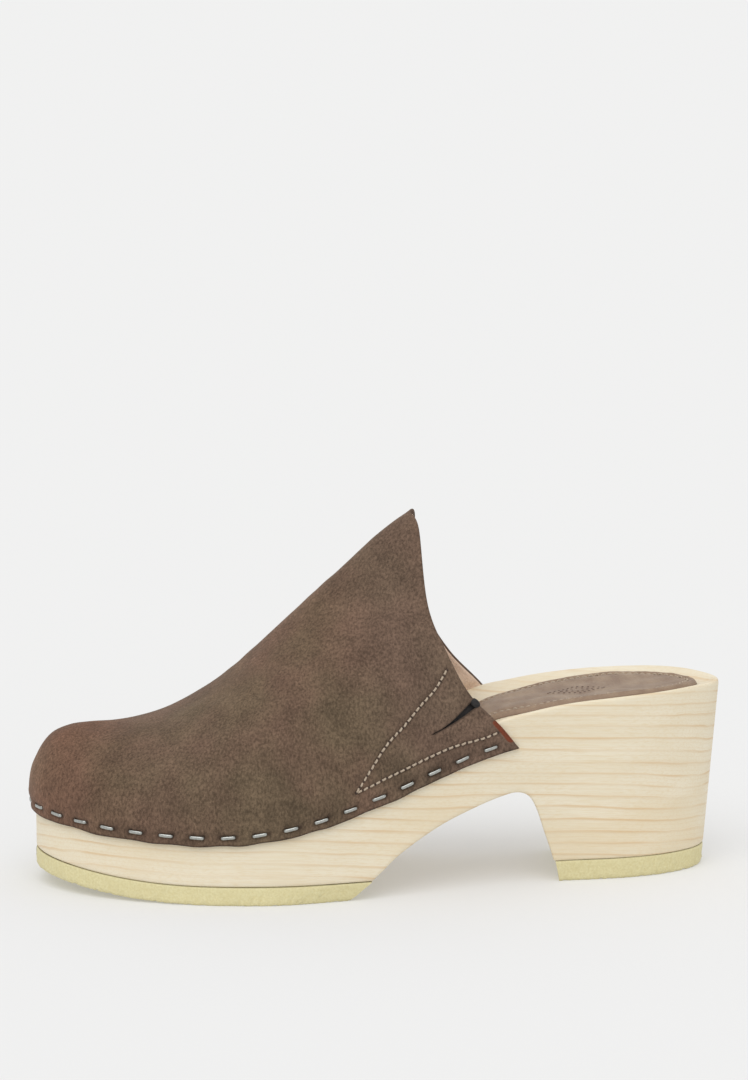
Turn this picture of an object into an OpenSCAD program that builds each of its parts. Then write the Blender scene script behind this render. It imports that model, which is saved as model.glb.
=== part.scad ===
// Stapled clog: a carved wooden sole with a block heel, rubber treads and a high suede upper.
// Left shoe. -X is the toe, +X the heel, -Y the outer side of the foot, +Z is up.
// The origin is on the floor, below the middle of the shoe.

/* [Wooden sole] */
// Length of the wooden sole from toe to heel
sole_length = 260; // [215:1:300]
// Width of the sole across the ball of the foot
ball_width = 92; // [76:1:108]
// Width of the heel seat at its rim
heel_width = 62; // [52:1:74]
// Height of the sole's rim at the ball of the foot
forefoot_height = 33; // [28:1:44]
// Height of the sole's rim at the back of the heel
seat_height = 72; // [60:1:92]
// Height of the gap under the arch
arch_height = 36; // [26:1:42]
// How much the heel block narrows on each side from the rim to the floor
heel_side_taper = 6; // [0:0.5:9]
// How much further back the heel block begins on the inner side of the foot
heel_front_slant = 6; // [0:0.5:8]
// How much the back of the heel leans in from the rim to the floor
heel_back_taper = 6; // [0:0.5:10]
// Depth of the cup that the heel sits in
cup_depth = 5; // [2:0.5:8]
// Depth of the hollow under the forefoot
footbed_depth = 2.5; // [1:0.5:5]
// Rounding along the rim's outer edge
rim_round = 1.6; // [0.8:0.1:2.5]

/* [Rubber treads] */
// Thickness of the forefoot tread
outsole_thickness = 7; // [4:0.5:12]
// Thickness of the heel tread
lift_thickness = 8; // [4:0.5:12]
// How far the toe rises above the floor
toe_spring = 6; // [0:0.5:12]

/* [Suede upper] */
// Thickness of the suede
suede_thickness = 1.7; // [1.2:0.1:2.6]
// Thickness of the lining leather
lining_thickness = 0.8; // [0.5:0.1:1.4]
// Thickness of the toe stiffener
puff_thickness = 1; // [0.6:0.1:1.6]
// Thickness of the elastic gore
gore_thickness = 1; // [0.6:0.1:1.6]
// Glue and clearance between two layers
glue_gap = 0.1; // [0.05:0.05:0.3]
// Height of the toe box above the sole's rim at the ball of the foot
toe_box_height = 27.4; // [23:0.2:40]
// Height of the upper's peak above the sole's rim at the ball of the foot
vamp_height = 105.8; // [88:0.2:130]
// How far the suede reaches down the side of the wood
band_drop = 10; // [8:0.5:13]
// Width of the gore's slit at its mouth
slit_width = 2.6; // [1.4:0.2:4]

/* [Fastenings] */
// Length of a staple's crown
staple_crown = 5.6; // [4:0.2:9]
// Width of the staple wire
staple_wire = 1.5; // [0.8:0.1:2]
// Depth that a staple's legs reach below the suede's face
staple_leg = 8; // [5:0.5:12]
// Distance from one staple to the next
staple_pitch = 11.6; // [8:0.2:16]
// Distance from the suede's lower edge to the staples
staple_margin = 3.6; // [2.4:0.2:5]
// Distance from the upper's rear corner to the first staple
staple_end_margin = 9.5; // [5:0.5:15]
// Distance from one stitch to the next
stitch_pitch = 2.5; // [2:0.1:5]
// Length of one stitch
stitch_length = 1.7; // [1.2:0.1:2.8]
// Thickness of the sewing thread
thread_size = 0.7; // [0.4:0.1:1]

/* [Sock pad] */
// Length of the heel pad
pad_length = 100; // [70:1:115]
// Width of the heel pad
pad_width = 50; // [36:1:52]
// Distance from the back of the heel to the pad
pad_back_margin = 9; // [5:1:16]
// Thickness of the foam in the pad's middle
foam_thickness = 1.8; // [1:0.1:3]
// Thickness of the pad's leather
pad_leather = 1; // [0.6:0.1:1.6]
// Distance from the pad's edge to its seam
pad_seam_margin = 3.6; // [2.4:0.2:5]
// Distance from the pad's edge to its foam
foam_inset = 2.2; // [1.4:0.1:3]
// How far the pad lies off the sole's middle, towards the inner side of the foot
pad_shift = -3; // [-4:0.5:3]

/* [Hidden] */

// The standard last, which the named sizes stretch. Distances along it run from the toe.
last_length = 260;
last_ball = 92;
last_heel = 62;
// Its plan: distance from the toe, centre line, half-width
last_plan = [[0, 5, 0], [2.7, 5, 12], [10.7, 4.2, 22.2], [25, 3, 32], [45, 1.8, 40.2],
             [69, 0.4, 45.2], [93, -0.4, 46], [119, -1, 41.6], [145, -1, 36.6], [171, 0.4, 32.8],
             [195, 3, 31], [217, 3.6, 30], [236, 4, 25.6], [250, 4.2, 17.4], [257.4, 4.2, 8.8],
             [260, 4.2, 0]];
// Steps that each stretch of the plan is drawn in, with short ones at the ends and the heel's front
plan_steps = [4, 4, 3, 3, 3, 3, 4, 7, 4, 12, 3, 3, 3, 4, 4];
// Where the forefoot ends and the heel begins to set the width
width_change = [93, 195];
// The rim's rise from the ball height to the seat height
rim_rise = [[0, 0.05], [29, 0.01], [69, 0], [99, 0.09], [129, 0.345], [149, 0.565], [171, 0.805],
            [184, 0.872], [197, 0.923], [213, 0.962], [229, 0.987], [247, 1.005], [260, 0.99]];
// The arch's underside as a share of its height
arch_rise = [[113, 0], [123.5, 0.24], [132, 0.45], [147, 0.71], [161, 0.875], [172, 0.975],
             [178, 1], [182.5, 0.945], [185.5, 0.8], [188.5, 0.56], [192, 0.28], [194.6, 0]];
// Where the block heel's sides begin to narrow and have narrowed in full, and where its back begins
heel_grip = [130, 190];
back_grip = 222;
// Where the underside's slant towards the inner side of the heel sets in
slant_range = [140, 176];
// Where the inner stations that slid back with it have caught up again
slide_end = [200, 240];
arch_front = arch_rise[0][0];
arch_back = arch_rise[len(arch_rise) - 1][0];
// Length of the toe's upward curve
spring_reach = 60;
// The hollow's depth: 0 is footbed_depth and 1 is cup_depth
hollow_share = [[0, -0.3], [40, 0], [110, 0], [160, 0.3], [195, 0.9], [220, 1], [260, 0.9]];
// The rim's crest, and the rings inside it, as shares of the way out from the middle
crest_share = 0.95;
hollow_rings = [0.9, 0.82, 0.72, 0.6, 0.47, 0.33, 0.18];
// Ends of the line that the rings shrink to, and its distance from the frame's middle plane
spine_ends = [45, 225];
spine_y = [2, 4];
// Roundness of the heel's plan behind that line: 1 is pointed, 2 an ellipse
heel_roundness = 1.65;
// How steeply the hollow falls away inside the crest
hollow_power = 2.4;

// How far the upper stands out in front of the wood
toe_bulge = 2.4;
length_scale = sole_length / last_length;
toe_x = (toe_bulge - sole_length) / 2;
stand_off = suede_thickness + glue_gap;

// The upper's lower edge: share of band_drop below the rim
drop_share = [[0, 0.75], [30, 0.95], [69, 1.02], [100, 0.9], [130, 0.93], [155, 1.05], [171, 1.22],
              [184, 1.28]];
// Plan station of the upper's rear corners, outer and inner side of the foot
rear_station = [9.27, 9.45];
// Ridge line: distance from the toe at each plan station, and its rise from toe box to peak
ridge_place = [[0, 21], [1, 22.5], [2, 27.5], [3, 37], [4, 51], [5, 69], [6, 87], [7, 104.5],
               [8, 121], [9.27, 140.6]];
ridge_rise = [[21, 0], [37, 0.005], [53, 0.062], [69, 0.192], [93, 0.458], [117, 0.736],
              [132, 0.905], [140.6, 1]];
ridge_y = 4;
// Shape of a rib from the lower edge to the ridge: shares of the way along, inward and up
toe_rib = [[0, 0, 0], [-0.03, -0.03, 0.27], [0.035, 0.035, 0.53], [0.29, 0.29, 0.835],
           [0.62, 0.62, 0.965], [1, 1, 1]];
vamp_rib = [[0, 0, 0], [0, -0.02, 0.2], [0.05, 0.05, 0.43], [0.24, 0.24, 0.69],
            [0.56, 0.57, 0.91], [1, 1, 1]];
outer_topline_rib = [[0, 0, 0], [0.21, -0.01, 0.114], [0.5, 0.03, 0.247], [0.73, 0.14, 0.438],
                     [0.916, 0.42, 0.648], [1, 1, 1]];
inner_topline_rib = [[0, 0, 0], [0.22, -0.01, 0.14], [0.525, 0.03, 0.3], [0.765, 0.14, 0.5],
                     [0.91, 0.42, 0.76], [1, 1, 1]];
rib_ends = len(toe_rib) - 1;
// Stations where the toe's shape has faded out, and where the topline's fades in
toe_shape_end = 3.6;
topline_shape_start = 4.6;
rib_count = 30;
// The share of the upper's length that the lining reaches
lining_end = 0.992;
layer_steps = 20;

// The gore's slit: its stations, and its rib share at each station
slit_station = [8.25, 9.27];
slit_line = [[0, 1.46], [8.3, 1.46], [8.5, 1.47], [8.7, 1.52], [8.86, 1.58], [9.03, 1.65], [9.27, 1.76]];
// Rows of the rib below and above the slit, and how far one rib share reaches there
slit_row = 5;
rows_above_slit = 11;
lip_reach = 17;
// Where the elastic gore lies, and where the lining swells round it
gore_station = [7.5, 9.22];
gore_swell_station = [6.6, 7.2];
gore_swell_low = [0.2, 0.8];
gore_swell_high = [3.3, 2.8];
// Where the toe stiffener ends, and where the lining has come back to the suede behind it
puff_station = 3.2;
puff_fade = [4.2, 3.4];
// Rib share just above the sole's rim, at each station
rim_clear_share = [[0, 1.05], [5, 1.0], [7, 1.05], [9.45, 1.3]];
// The seams that hold the gore: station and rib share
upper_seam = [[6.88, 0.79], [7.14, 1.24], [7.51, 1.73], [7.97, 2.01], [8.31, 2.21], [8.71, 2.38],
              [9.12, 2.64]];
lower_seam = [[6.89, 0.79], [7.1, 0.81], [7.4, 0.86], [8.06, 0.89], [8.4, 0.88], [8.9, 0.75], [9.15, 0.77]];

// ---------- smooth curves ----------

function mix(a, b, t) = a + (b - a) * t;
function limit(t, low = 0, high = 1) = min(high, max(low, t));
function ease(t) = let (c = limit(t)) c * c * (3 - 2 * c);
// 0 at one end of a range and 1 at the other, smoothly
function fade(range, x) = ease((x - range[0]) / (range[1] - range[0]));
function unit(v) = v / norm(v);
function hermite(a, b, ta, tb, t) =
    a * (2 * t ^ 3 - 3 * t ^ 2 + 1) + ta * (t ^ 3 - 2 * t ^ 2 + t)
    + b * (3 * t ^ 2 - 2 * t ^ 3) + tb * (t ^ 3 - t ^ 2);

// The value at x of a smooth curve through knots of [place, value]
function span_at(knots, x, i = 0) =
    i >= len(knots) - 2 || x < knots[i + 1][0] ? i : span_at(knots, x, i + 1);
function slope_at(knots, i) =
    let (a = knots[max(i - 1, 0)], b = knots[min(i + 1, len(knots) - 1)])
    (b[1] - a[1]) / (b[0] - a[0]);
function curve_at(knots, x) =
    let (i = span_at(knots, x), a = knots[i], b = knots[i + 1], w = b[0] - a[0])
    hermite(a[1], b[1], slope_at(knots, i) * w, slope_at(knots, i + 1) * w, limit((x - a[0]) / w));

// A point at t on a smooth line through points, one unit of t for each stretch
function line_tangent(points, i) =
    let (a = max(i - 1, 0), b = min(i + 1, len(points) - 1)) (points[b] - points[a]) / (b - a);
function line_at(points, t) =
    let (i = limit(floor(t), 0, len(points) - 2))
    hermite(points[i], points[i + 1], line_tangent(points, i), line_tangent(points, i + 1), t - i);

// ---------- plan and heights of the sole ----------

// A row of the plan, mirrored past both ends so that the outline closes square to its length
function plan_row(k) =
    k < 0 ? let (r = last_plan[-k]) [r[0], r[1], -r[2]]
    : k >= len(last_plan) ? let (r = last_plan[2 * len(last_plan) - 2 - k]) [r[0], r[1], -r[2]]
    : last_plan[k];
// [distance from toe, centre line, half-width] on the last at a station
function plan_at(p) =
    let (i = limit(floor(p), 0, len(last_plan) - 2))
    hermite(plan_row(i), plan_row(i + 1), (plan_row(i + 1) - plan_row(i - 1)) / 2,
            (plan_row(i + 2) - plan_row(i)) / 2, p - i);
function widen(d) =
    mix(ball_width / last_ball, heel_width / last_heel,
        fade(width_change, d));
function x_of(d) = toe_x + d * length_scale;
function d_of(x) = (x - toe_x) / length_scale;

function rim_z(d) = mix(forefoot_height, seat_height, curve_at(rim_rise, d));
function floor_z(d) = toe_spring * (limit((spring_reach - d) / spring_reach)) ^ 2;
function slanted(d, side) = side < 0 ? d : d - heel_front_slant * fade(slant_range, d);
function arch_z(d, side) =
    let (s = slanted(d, side)) s <= arch_front || s >= arch_back ? 0 : arch_height * curve_at(arch_rise, s);
function tread_z(d) = d < (arch_front + arch_back) / 2 ? floor_z(d) + outsole_thickness : lift_thickness;
function wood_bottom_z(d, side) = max(tread_z(d), arch_z(d, side));
function hollow_depth(d) = mix(footbed_depth, cup_depth, curve_at(hollow_share, d));

// The wall of the sole at a station and height, side -1 outer and +1 inner side of the foot.
// The heel block narrows towards the floor about its own middle.
function wall_at(side, p, z) =
    let (r = plan_at(p), d = r[0], low = 1 - limit(z / rim_z(d)),
         narrow = fade(heel_grip, d) * low
                  * heel_side_taper / (heel_width / 2),
         lean = d > back_grip ? low * heel_back_taper / ((last_length - back_grip) * length_scale) : 0)
    [x_of(d - lean * (d - back_grip)), r[1] + side * r[2] * widen(d) * (1 - narrow), z];
function outward(side, p) =
    let (e = 0.02, z = forefoot_height, t = unit(wall_at(side, p + e, z) - wall_at(side, p - e, z)))
    side < 0 ? [t[1], -t[0], 0] : [-t[1], t[0], 0];

// Stations all round the sole, from the toe along the outer side and back along the inner side
stations = [for (k = [0:len(plan_steps) - 1], s = [0:plan_steps[k] - 1]) k + s / plan_steps[k],
            len(last_plan) - 1];
last_station = len(stations) - 1;
ring_size = 2 * last_station;
function side_of(i) = i <= last_station ? -1 : 1;
// Inner stations slide back with the heel's slanted front, so that its rungs across stay level
function slid(p) =
    let (e = 0.02, d = plan_at(p)[0], rate = (plan_at(p + e)[0] - plan_at(p - e)[0]) / (2 * e))
    p + (d - slanted(d, 1)) * (1 - fade(slide_end, d)) / rate;
function station_of(i) = i <= last_station ? stations[i] : slid(stations[ring_size - i]);

// A ring of the sole at a share of the way out from the middle
function spine_at(p) =
    let (d = limit(plan_at(p)[0], spine_ends[0], spine_ends[1]))
    [x_of(d), mix(spine_y[0], spine_y[1], ease(d / last_length)), 0];
function shrunk(point, p, share) =
    let (s = spine_at(p)) [mix(s[0], point[0], share), mix(s[1], point[1], share)];
function wall_ring(share, height) =
    [for (i = [0:ring_size - 1])
        let (p = station_of(i), z = height(plan_at(p)[0], side_of(i)),
             q = shrunk(wall_at(side_of(i), p, z), p, share))
        [q[0], q[1], z]];
function seat_z(x, share) =
    let (d = limit(d_of(x), 0, last_length))
    rim_z(d) - hollow_depth(d) * (1 - min(1, share / crest_share) ^ hollow_power);
function seat_ring(share) =
    [for (i = [0:ring_size - 1])
        let (p = station_of(i), q = shrunk(wall_at(side_of(i), p, seat_height * 2), p, share))
        [q[0], q[1], seat_z(q[0], share)]];

// Faces of a stack of rings, closed straight across at the first and the last one
function across(base, size, up) =
    [for (i = [0:size / 2 - 1])
        let (a = base + i, b = base + i + 1, c = base + size - i - 1, d = base + (size - i) % size)
        for (f = i == 0 ? [[d, b, c]] : i == size / 2 - 1 ? [[a, b, d]] : [[a, b, c], [a, c, d]])
        up ? f : [f[2], f[1], f[0]]];
function stack_faces(count, size) =
    concat(
        across(0, size, true),
        across((count - 1) * size, size, false),
        [for (r = [0:count - 2], i = [0:size - 1])
            let (a = r * size + i, b = r * size + (i + 1) % size, c = a + size, d = b + size)
            for (f = [[a, d, b], [a, c, d]]) f]);
module stack(rings) {
    polyhedron(points = [for (r = rings) for (q = r) q],
               faces = stack_faces(len(rings), len(rings[0])), convexity = 6);
}

module wooden_sole() {
    edge = 0.985;
    color("burlywood")
        stack(concat(
            [wall_ring(edge, function(d, side) wood_bottom_z(d, side)),
             wall_ring(1, function(d, side) wood_bottom_z(d, side) + rim_round / 2),
             wall_ring(1, function(d, side) mix(wood_bottom_z(d, side), rim_z(d), 0.5)),
             wall_ring(1, function(d, side) rim_z(d) - rim_round)],
            [for (a = [30, 60, 90])
                wall_ring(1 - (1 - crest_share) * (1 - cos(a)) / 2,
                          function(d, side) rim_z(d) - rim_round * (1 - sin(a)))],
            [seat_ring(crest_share)],
            [for (q = hollow_rings) seat_ring(q)]));
}

// ---------- treads ----------

// Rungs of a ladder straight across the sole: each is a station's bottom and top on both sides
function rung(bottom, top) = [bottom[0], top[0], top[1], bottom[1]];
function ladder_faces(count) =
    concat(
        [[3, 2, 1, 0]],
        [for (r = [0:count - 2], k = [0:3])
            let (a = 4 * r + k, b = 4 * r + (k + 1) % 4)
            for (f = [[a, b + 4, a + 4], [a, b, b + 4]]) f],
        [let (e = 4 * (count - 1)) [e, e + 1, e + 2, e + 3]]);
module ladder(rungs) {
    polyhedron(points = [for (r = rungs) for (q = r) q], faces = ladder_faces(len(rungs)), convexity = 4);
}

// Both walls at a station, where the outline has opened enough to be cut straight across
function pair(p, z) = [for (side = [-1, 1]) wall_at(side, p, z)];

module forefoot_outsole() {
    // The tread's back end slants back by tail along the arch, from tail_from of its length on
    tail_station = 7.1;
    tail = 8.4;
    tail_from = 0.7;
    tip = 0.12;
    steps = 36;
    color("khaki")
        ladder([for (i = [0:steps])
            let (p = mix(tip, tail_station, i / steps), d = plan_at(p)[0],
                 back = tail * fade([tail_from, 1], i / steps),
                 low = pair(p, floor_z(d)), high = pair(p, tread_z(d) - glue_gap))
            rung([for (q = low) [q[0] - back, q[1], q[2]]], high)]);
}

module heel_top_lift() {
    // The lift's front face slants by slant, which fades out over front_part of its length
    front_station = 9.92;
    slant = 1.8;
    front_part = 0.3;
    tip = 14.88;
    steps = 28;
    color("khaki")
        ladder([for (i = [0:steps])
            let (p = mix(front_station, tip, i / steps), front = 1 - fade([0, front_part], i / steps),
                 back = [0, heel_front_slant * front],
                 low = pair(p, 0), high = pair(p, lift_thickness - glue_gap))
            rung([for (k = [0, 1]) low[k] + [back[k] + slant * front, 0, 0]],
                 [for (k = [0, 1]) high[k] + [back[k], 0, 0]])]);
}

// ---------- suede upper ----------

function ridge_z(d) = forefoot_height + mix(toe_box_height, vamp_height, curve_at(ridge_rise, d));
function lower_edge(side, p, depth) =
    let (d = plan_at(p)[0], z = rim_z(d) - band_drop * curve_at(drop_share, d))
    wall_at(side, p, z) + outward(side, p) * (stand_off - depth);
function ridge_point(p, depth) =
    let (d = curve_at(ridge_place, min(p, rear_station[0]))) [x_of(d), ridge_y, ridge_z(d) - depth];
function rib_shape(side, p) =
    mix(mix(toe_rib, vamp_rib, fade([0, toe_shape_end], p)), side < 0 ? outer_topline_rib : inner_topline_rib,
        fade([topline_shape_start, rear_station[0]], p));
// Half a rib's guide points. u runs from 0 at the toe to 1 at the topline.
function half_rib(side, u, depth) =
    let (p = u * rear_station[side < 0 ? 0 : 1], e = lower_edge(side, p, depth),
         r = ridge_point(u * rear_station[0], depth), shape = rib_shape(side, u * rear_station[0]))
    [for (s = shape) [mix(e[0], r[0], s[0]), mix(e[1], r[1], s[1]), mix(e[2], r[2], s[2])]];
function rib(u, depth) =
    let (near = half_rib(-1, u, depth), far = half_rib(1, u, depth))
    concat(near, [for (k = [rib_ends - 1:-1:0]) far[k]]);
// A point of the upper: u along it, v round the rib from 0 to 2 * rib_ends, depth below its face
function upper_at(u, v, depth) = line_at(rib(u, depth), v);

// A layer between two depths over a grid of u and v. Cells that keep() refuses are left open.
function layer_faces(nu, nv, closed_toe, keep) =
    let (size = (nu + 1) * (nv + 1), at = function(i, j) i * (nv + 1) + j,
         has = function(i, j) i >= 0 && i < nu && j >= 0 && j < nv && keep(i, j))
    [for (i = [0:nu - 1], j = [0:nv - 1]) if (has(i, j))
        let (a = at(i, j), b = at(i + 1, j), c = at(i + 1, j + 1), d = at(i, j + 1))
        for (f = concat(
            [[a, c, b], [a, d, c], [a + size, b + size, c + size], [a + size, c + size, d + size]],
            !has(i, j - 1) ? [[a, b, b + size], [a, b + size, a + size]] : [],
            !has(i, j + 1) ? [[c, d, d + size], [c, d + size, c + size]] : [],
            !has(i + 1, j) ? [[b, c, c + size], [b, c + size, b + size]] : [],
            !has(i - 1, j) && !(i == 0 && closed_toe) ? [[d, a, a + size], [d, a + size, d + size]] : []))
        f];
module layer(us, vs, top, under, closed_toe, keep = function(i, j) true) {
    grid = function(depth) [for (u = us) let (row = vs(u)) for (v = row) upper_at(u, v, depth(u, v))];
    polyhedron(points = concat(grid(top), grid(under)),
               faces = layer_faces(len(us) - 1, len(vs(us[0])) - 1, closed_toe, keep), convexity = 10);
}

function slit_opening(u) =
    let (p = u * rear_station[0], t = limit((p - slit_station[0]) / (slit_station[1] - slit_station[0])))
    slit_width / 2 * (0.04 + 0.96 * sin(t * 90)) * (p < slit_station[0] ? 0 : 1);
// Rib shares of the arch, with the slit's two lips put in and their twins on the other side
function slit_arch(u) =
    let (slit = curve_at(slit_line, u * rear_station[0]), open = max(slit_opening(u) / lip_reach, 0.008),
         half = [for (k = [0:slit_row]) (slit - open) * k / slit_row,
                 for (k = [0:rows_above_slit]) mix(slit + open, rib_ends, k / rows_above_slit)])
    concat(half, [for (k = [len(half) - 2:-1:0]) 2 * rib_ends - half[k]]);

module suede_upper() {
    us = [for (i = [0:rib_count]) i / rib_count];
    first_open = ceil(slit_station[0] / rear_station[0] * rib_count);
    color("dimgray")
        layer(us, function(u) slit_arch(u), function(u, v) 0, function(u, v) suede_thickness, true,
              function(i, j) !(j == slit_row && i >= first_open));
}

// Rib shares between one limit and its twin on the other side
function spread_arch(low, count) = [for (k = [0:count]) mix(low, 2 * rib_ends - low, k / count)];
function rim_share(u) = curve_at(rim_clear_share, u * rear_station[1]);
function gore_zone(u, v) =
    fade(gore_swell_station, u * rear_station[0]) * fade(gore_swell_low, v) * fade(gore_swell_high, v);

module vamp_lining() {
    us = [for (i = [0:rib_count]) lining_end * i / rib_count];
    top = function(u, v) stand_off + (puff_thickness + glue_gap) * fade(puff_fade, u * rear_station[0])
        + (gore_thickness + glue_gap) * gore_zone(u, v);
    color("rosybrown")
        layer(us, function(u) spread_arch(rim_share(u), layer_steps), top,
              function(u, v) top(u, v) + lining_thickness, true);
}

module toe_puff() {
    steps = 12;
    us = [for (i = [0:steps]) mix(0, puff_station / rear_station[0], i / steps)];
    color("wheat")
        layer(us, function(u) spread_arch(rim_share(u), layer_steps), function(u, v) stand_off,
              function(u, v) stand_off + puff_thickness, true);
}

module gore_elastic() {
    steps = 14;
    rows = 6;
    // Rib shares that the gore stays above the rim by and reaches past the upper seam
    above_rim = 0.02;
    past_seam = 0.12;
    us = [for (i = [0:steps]) mix(gore_station[0], gore_station[1], i / steps) / rear_station[0]];
    low = function(u) rim_share(u) + above_rim;
    high = function(u) curve_at(upper_seam, u * rear_station[0]) + past_seam;
    color("black")
        layer(us, function(u) [for (k = [0:rows]) mix(low(u), high(u), k / rows)], function(u, v) stand_off,
              function(u, v) stand_off + gore_thickness, false);
}

// ---------- things set out along a line ----------

// Running totals of length along points, computed in one pass
function totals(points) =
    [for (i = 0, s = 0; i < len(points);
          s = s + (i < len(points) - 1 ? norm(points[i + 1] - points[i]) : 0), i = i + 1) s];
function place_along(sums, s) = let (i = lookup_index(sums, s)) i + (s - sums[i]) / (sums[i + 1] - sums[i]);
function lookup_index(sums, s, i = 0) =
    i >= len(sums) - 2 || s < sums[i + 1] ? i : lookup_index(sums, s, i + 1);
function point_along(points, t) =
    let (i = limit(floor(t), 0, len(points) - 2)) mix(points[i], points[i + 1], t - i);
function step_along(points, t) =
    let (reach = 0.3) point_along(points, t + reach) - point_along(points, t - reach);

// Puts children on a surface point, X along the line and Z out of the surface
module set_on(point, along, out) {
    x = unit(along);
    y = unit(cross(out, x));
    z = cross(x, y);
    multmatrix([[x[0], y[0], z[0], point[0]], [x[1], y[1], z[1], point[1]], [x[2], y[2], z[2], point[2]],
                [0, 0, 0, 1]])
        children();
}

// The line of the staples: height share above the lower edge, from the outer corner round the toe
function staple_share(u) =
    let (r = rib(u, 0)) staple_margin / norm(r[1] - r[0]);
line_steps = 60;
staple_line = [for (k = [-line_steps:line_steps]) let (u = abs(k) / line_steps, v = staple_share(u))
    upper_at(u, k < 0 ? v : 2 * rib_ends - v, 0)];

module staple() {
    translate([-staple_crown / 2, -staple_wire / 2, -staple_wire / 6])
        cube([staple_crown, staple_wire, staple_wire / 2]);
    for (side = [-1, 1])
        translate([side * (staple_crown - staple_wire / 2) / 2, 0, -staple_leg / 2])
            cube([staple_wire / 2, staple_wire, staple_leg], center = true);
}

module staples() {
    sums = totals(staple_line);
    whole = sums[len(sums) - 1];
    count = floor((whole - 2 * staple_end_margin) / staple_pitch);
    color("silver")
        for (k = [0:count]) {
            t = place_along(sums, mix(staple_end_margin, whole - staple_end_margin, k / count));
            u = abs(t - line_steps) / line_steps;
            side = t < line_steps ? -1 : 1;
            point = point_along(staple_line, t);
            set_on(point, step_along(staple_line, t), outward(side, u * rear_station[side < 0 ? 0 : 1]))
                staple();
        }
}

// Stitches along a seam given by stations and rib shares
module seam_on_upper(seam) {
    first = seam[0][0];
    last = seam[len(seam) - 1][0];
    points = [for (k = [0:line_steps]) let (p = mix(first, last, k / line_steps))
        upper_at(p / rear_station[0], curve_at(seam, p), 0)];
    under = [for (k = [0:line_steps]) let (p = mix(first, last, k / line_steps))
        upper_at(p / rear_station[0], curve_at(seam, p), suede_thickness)];
    sums = totals(points);
    whole = sums[line_steps];
    count = floor(whole / stitch_pitch);
    for (k = [0:count - 1]) {
        t = place_along(sums, (k + 0.5) * whole / count);
        point = point_along(points, t);
        set_on(point, step_along(points, t), unit(point - point_along(under, t)))
            rotate([0, 90, 0])
                cylinder(h = stitch_length, d = thread_size, center = true, $fn = 16);
    }
}

module gore_seam_upper() {
    color("tan") seam_on_upper(upper_seam);
}

module gore_seam_lower() {
    color("tan") seam_on_upper(lower_seam);
}

// ---------- heel pad ----------

// The pad's plan: share of its length from the front, share of its half-width
pad_plan = [[0, 0], [0.03, 0.3], [0.11, 0.55], [0.27, 0.78], [0.45, 0.93], [0.65, 1], [0.8, 0.9],
            [0.92, 0.6], [0.98, 0.28], [1, 0]];
pad_steps = 4;
// Ends of the line that the pad's rings shrink to, as shares of its length
pad_spine = [0.3, 0.72];
function pad_row(k) =
    k < 0 ? let (r = pad_plan[-k]) [r[0], -r[1]]
    : k >= len(pad_plan) ? let (r = pad_plan[2 * len(pad_plan) - 2 - k]) [r[0], -r[1]]
    : pad_plan[k];
function pad_plan_at(t) =
    let (i = limit(floor(t), 0, len(pad_plan) - 2))
    hermite(pad_row(i), pad_row(i + 1), (pad_row(i + 1) - pad_row(i - 1)) / 2,
            (pad_row(i + 2) - pad_row(i)) / 2, t - i);
pad_front_x = toe_x + sole_length - pad_back_margin - pad_length;
function sole_middle(x) = curve_at([for (r = last_plan) [r[0], r[1]]], d_of(x)) + pad_shift;
function pad_edge(side, t) =
    let (r = pad_plan_at(t), x = pad_front_x + r[0] * pad_length)
    [x, sole_middle(x) + side * r[1] * pad_width / 2];
// The share of the way out from the sole's middle at a place in plan
function share_at(x, y) =
    let (d = d_of(x), s = min(d, spine_ends[1]),
         centre = mix(spine_y[0], spine_y[1], ease(s / last_length)),
         half = curve_at([for (r = last_plan) [r[0], r[2]]], s) * widen(s),
         middle = curve_at([for (r = last_plan) [r[0], r[1]]], s),
         sideways = abs(y - centre) / (half + (y < centre ? centre - middle : middle - centre)),
         beyond = max(0, d - s) / (last_length - spine_ends[1]))
    limit((sideways ^ heel_roundness + beyond ^ heel_roundness) ^ (1 / heel_roundness));
function bed_z(x, y) = seat_z(x, share_at(x, y));
pad_last = (len(pad_plan) - 1) * pad_steps;
// A ring of the pad at a share of the way out, lifted off the wood
function pad_ring(share, lift, inset = 0) =
    [for (i = [0:2 * pad_last - 1])
        let (side = i <= pad_last ? -1 : 1, t = (i <= pad_last ? i : 2 * pad_last - i) / pad_steps,
             e = pad_edge(side, t), ends = [for (share = pad_spine) pad_front_x + share * pad_length],
             sx = limit(e[0], ends[0], ends[1]), s = [sx, sole_middle(sx)], away = norm(e - s),
             q = s + (e - s) * share * (away - inset) / away)
        [q[0], q[1], bed_z(q[0], q[1]) + lift]];

module sock_foam() {
    color("lightyellow")
        stack([for (r = [[0.3, 0], [0.7, 0], [1, 0], [1, 0.5], [0.88, 0.85], [0.7, 1], [0.3, 1]])
            pad_ring(r[0], glue_gap + r[1] * foam_thickness, foam_inset)]);
}

module sock_cover() {
    under = [for (r = [[0.3, 1], [0.7, 1], [0.88, 0.85], [1, 0.5]])
        pad_ring(r[0], 2 * glue_gap + r[1] * foam_thickness, foam_inset - 0.2)];
    hem = [pad_ring(1, glue_gap, foam_inset - 0.4), pad_ring(1, glue_gap),
           pad_ring(1, glue_gap + pad_leather * 0.7)];
    face = [for (r = [[0.97, 0.1], [0.88, 0.6], [0.7, 1], [0.3, 1]])
        pad_ring(r[0], 2 * glue_gap + pad_leather + r[1] * foam_thickness)];
    color("rosybrown") stack(concat(under, hem, face));
}

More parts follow.
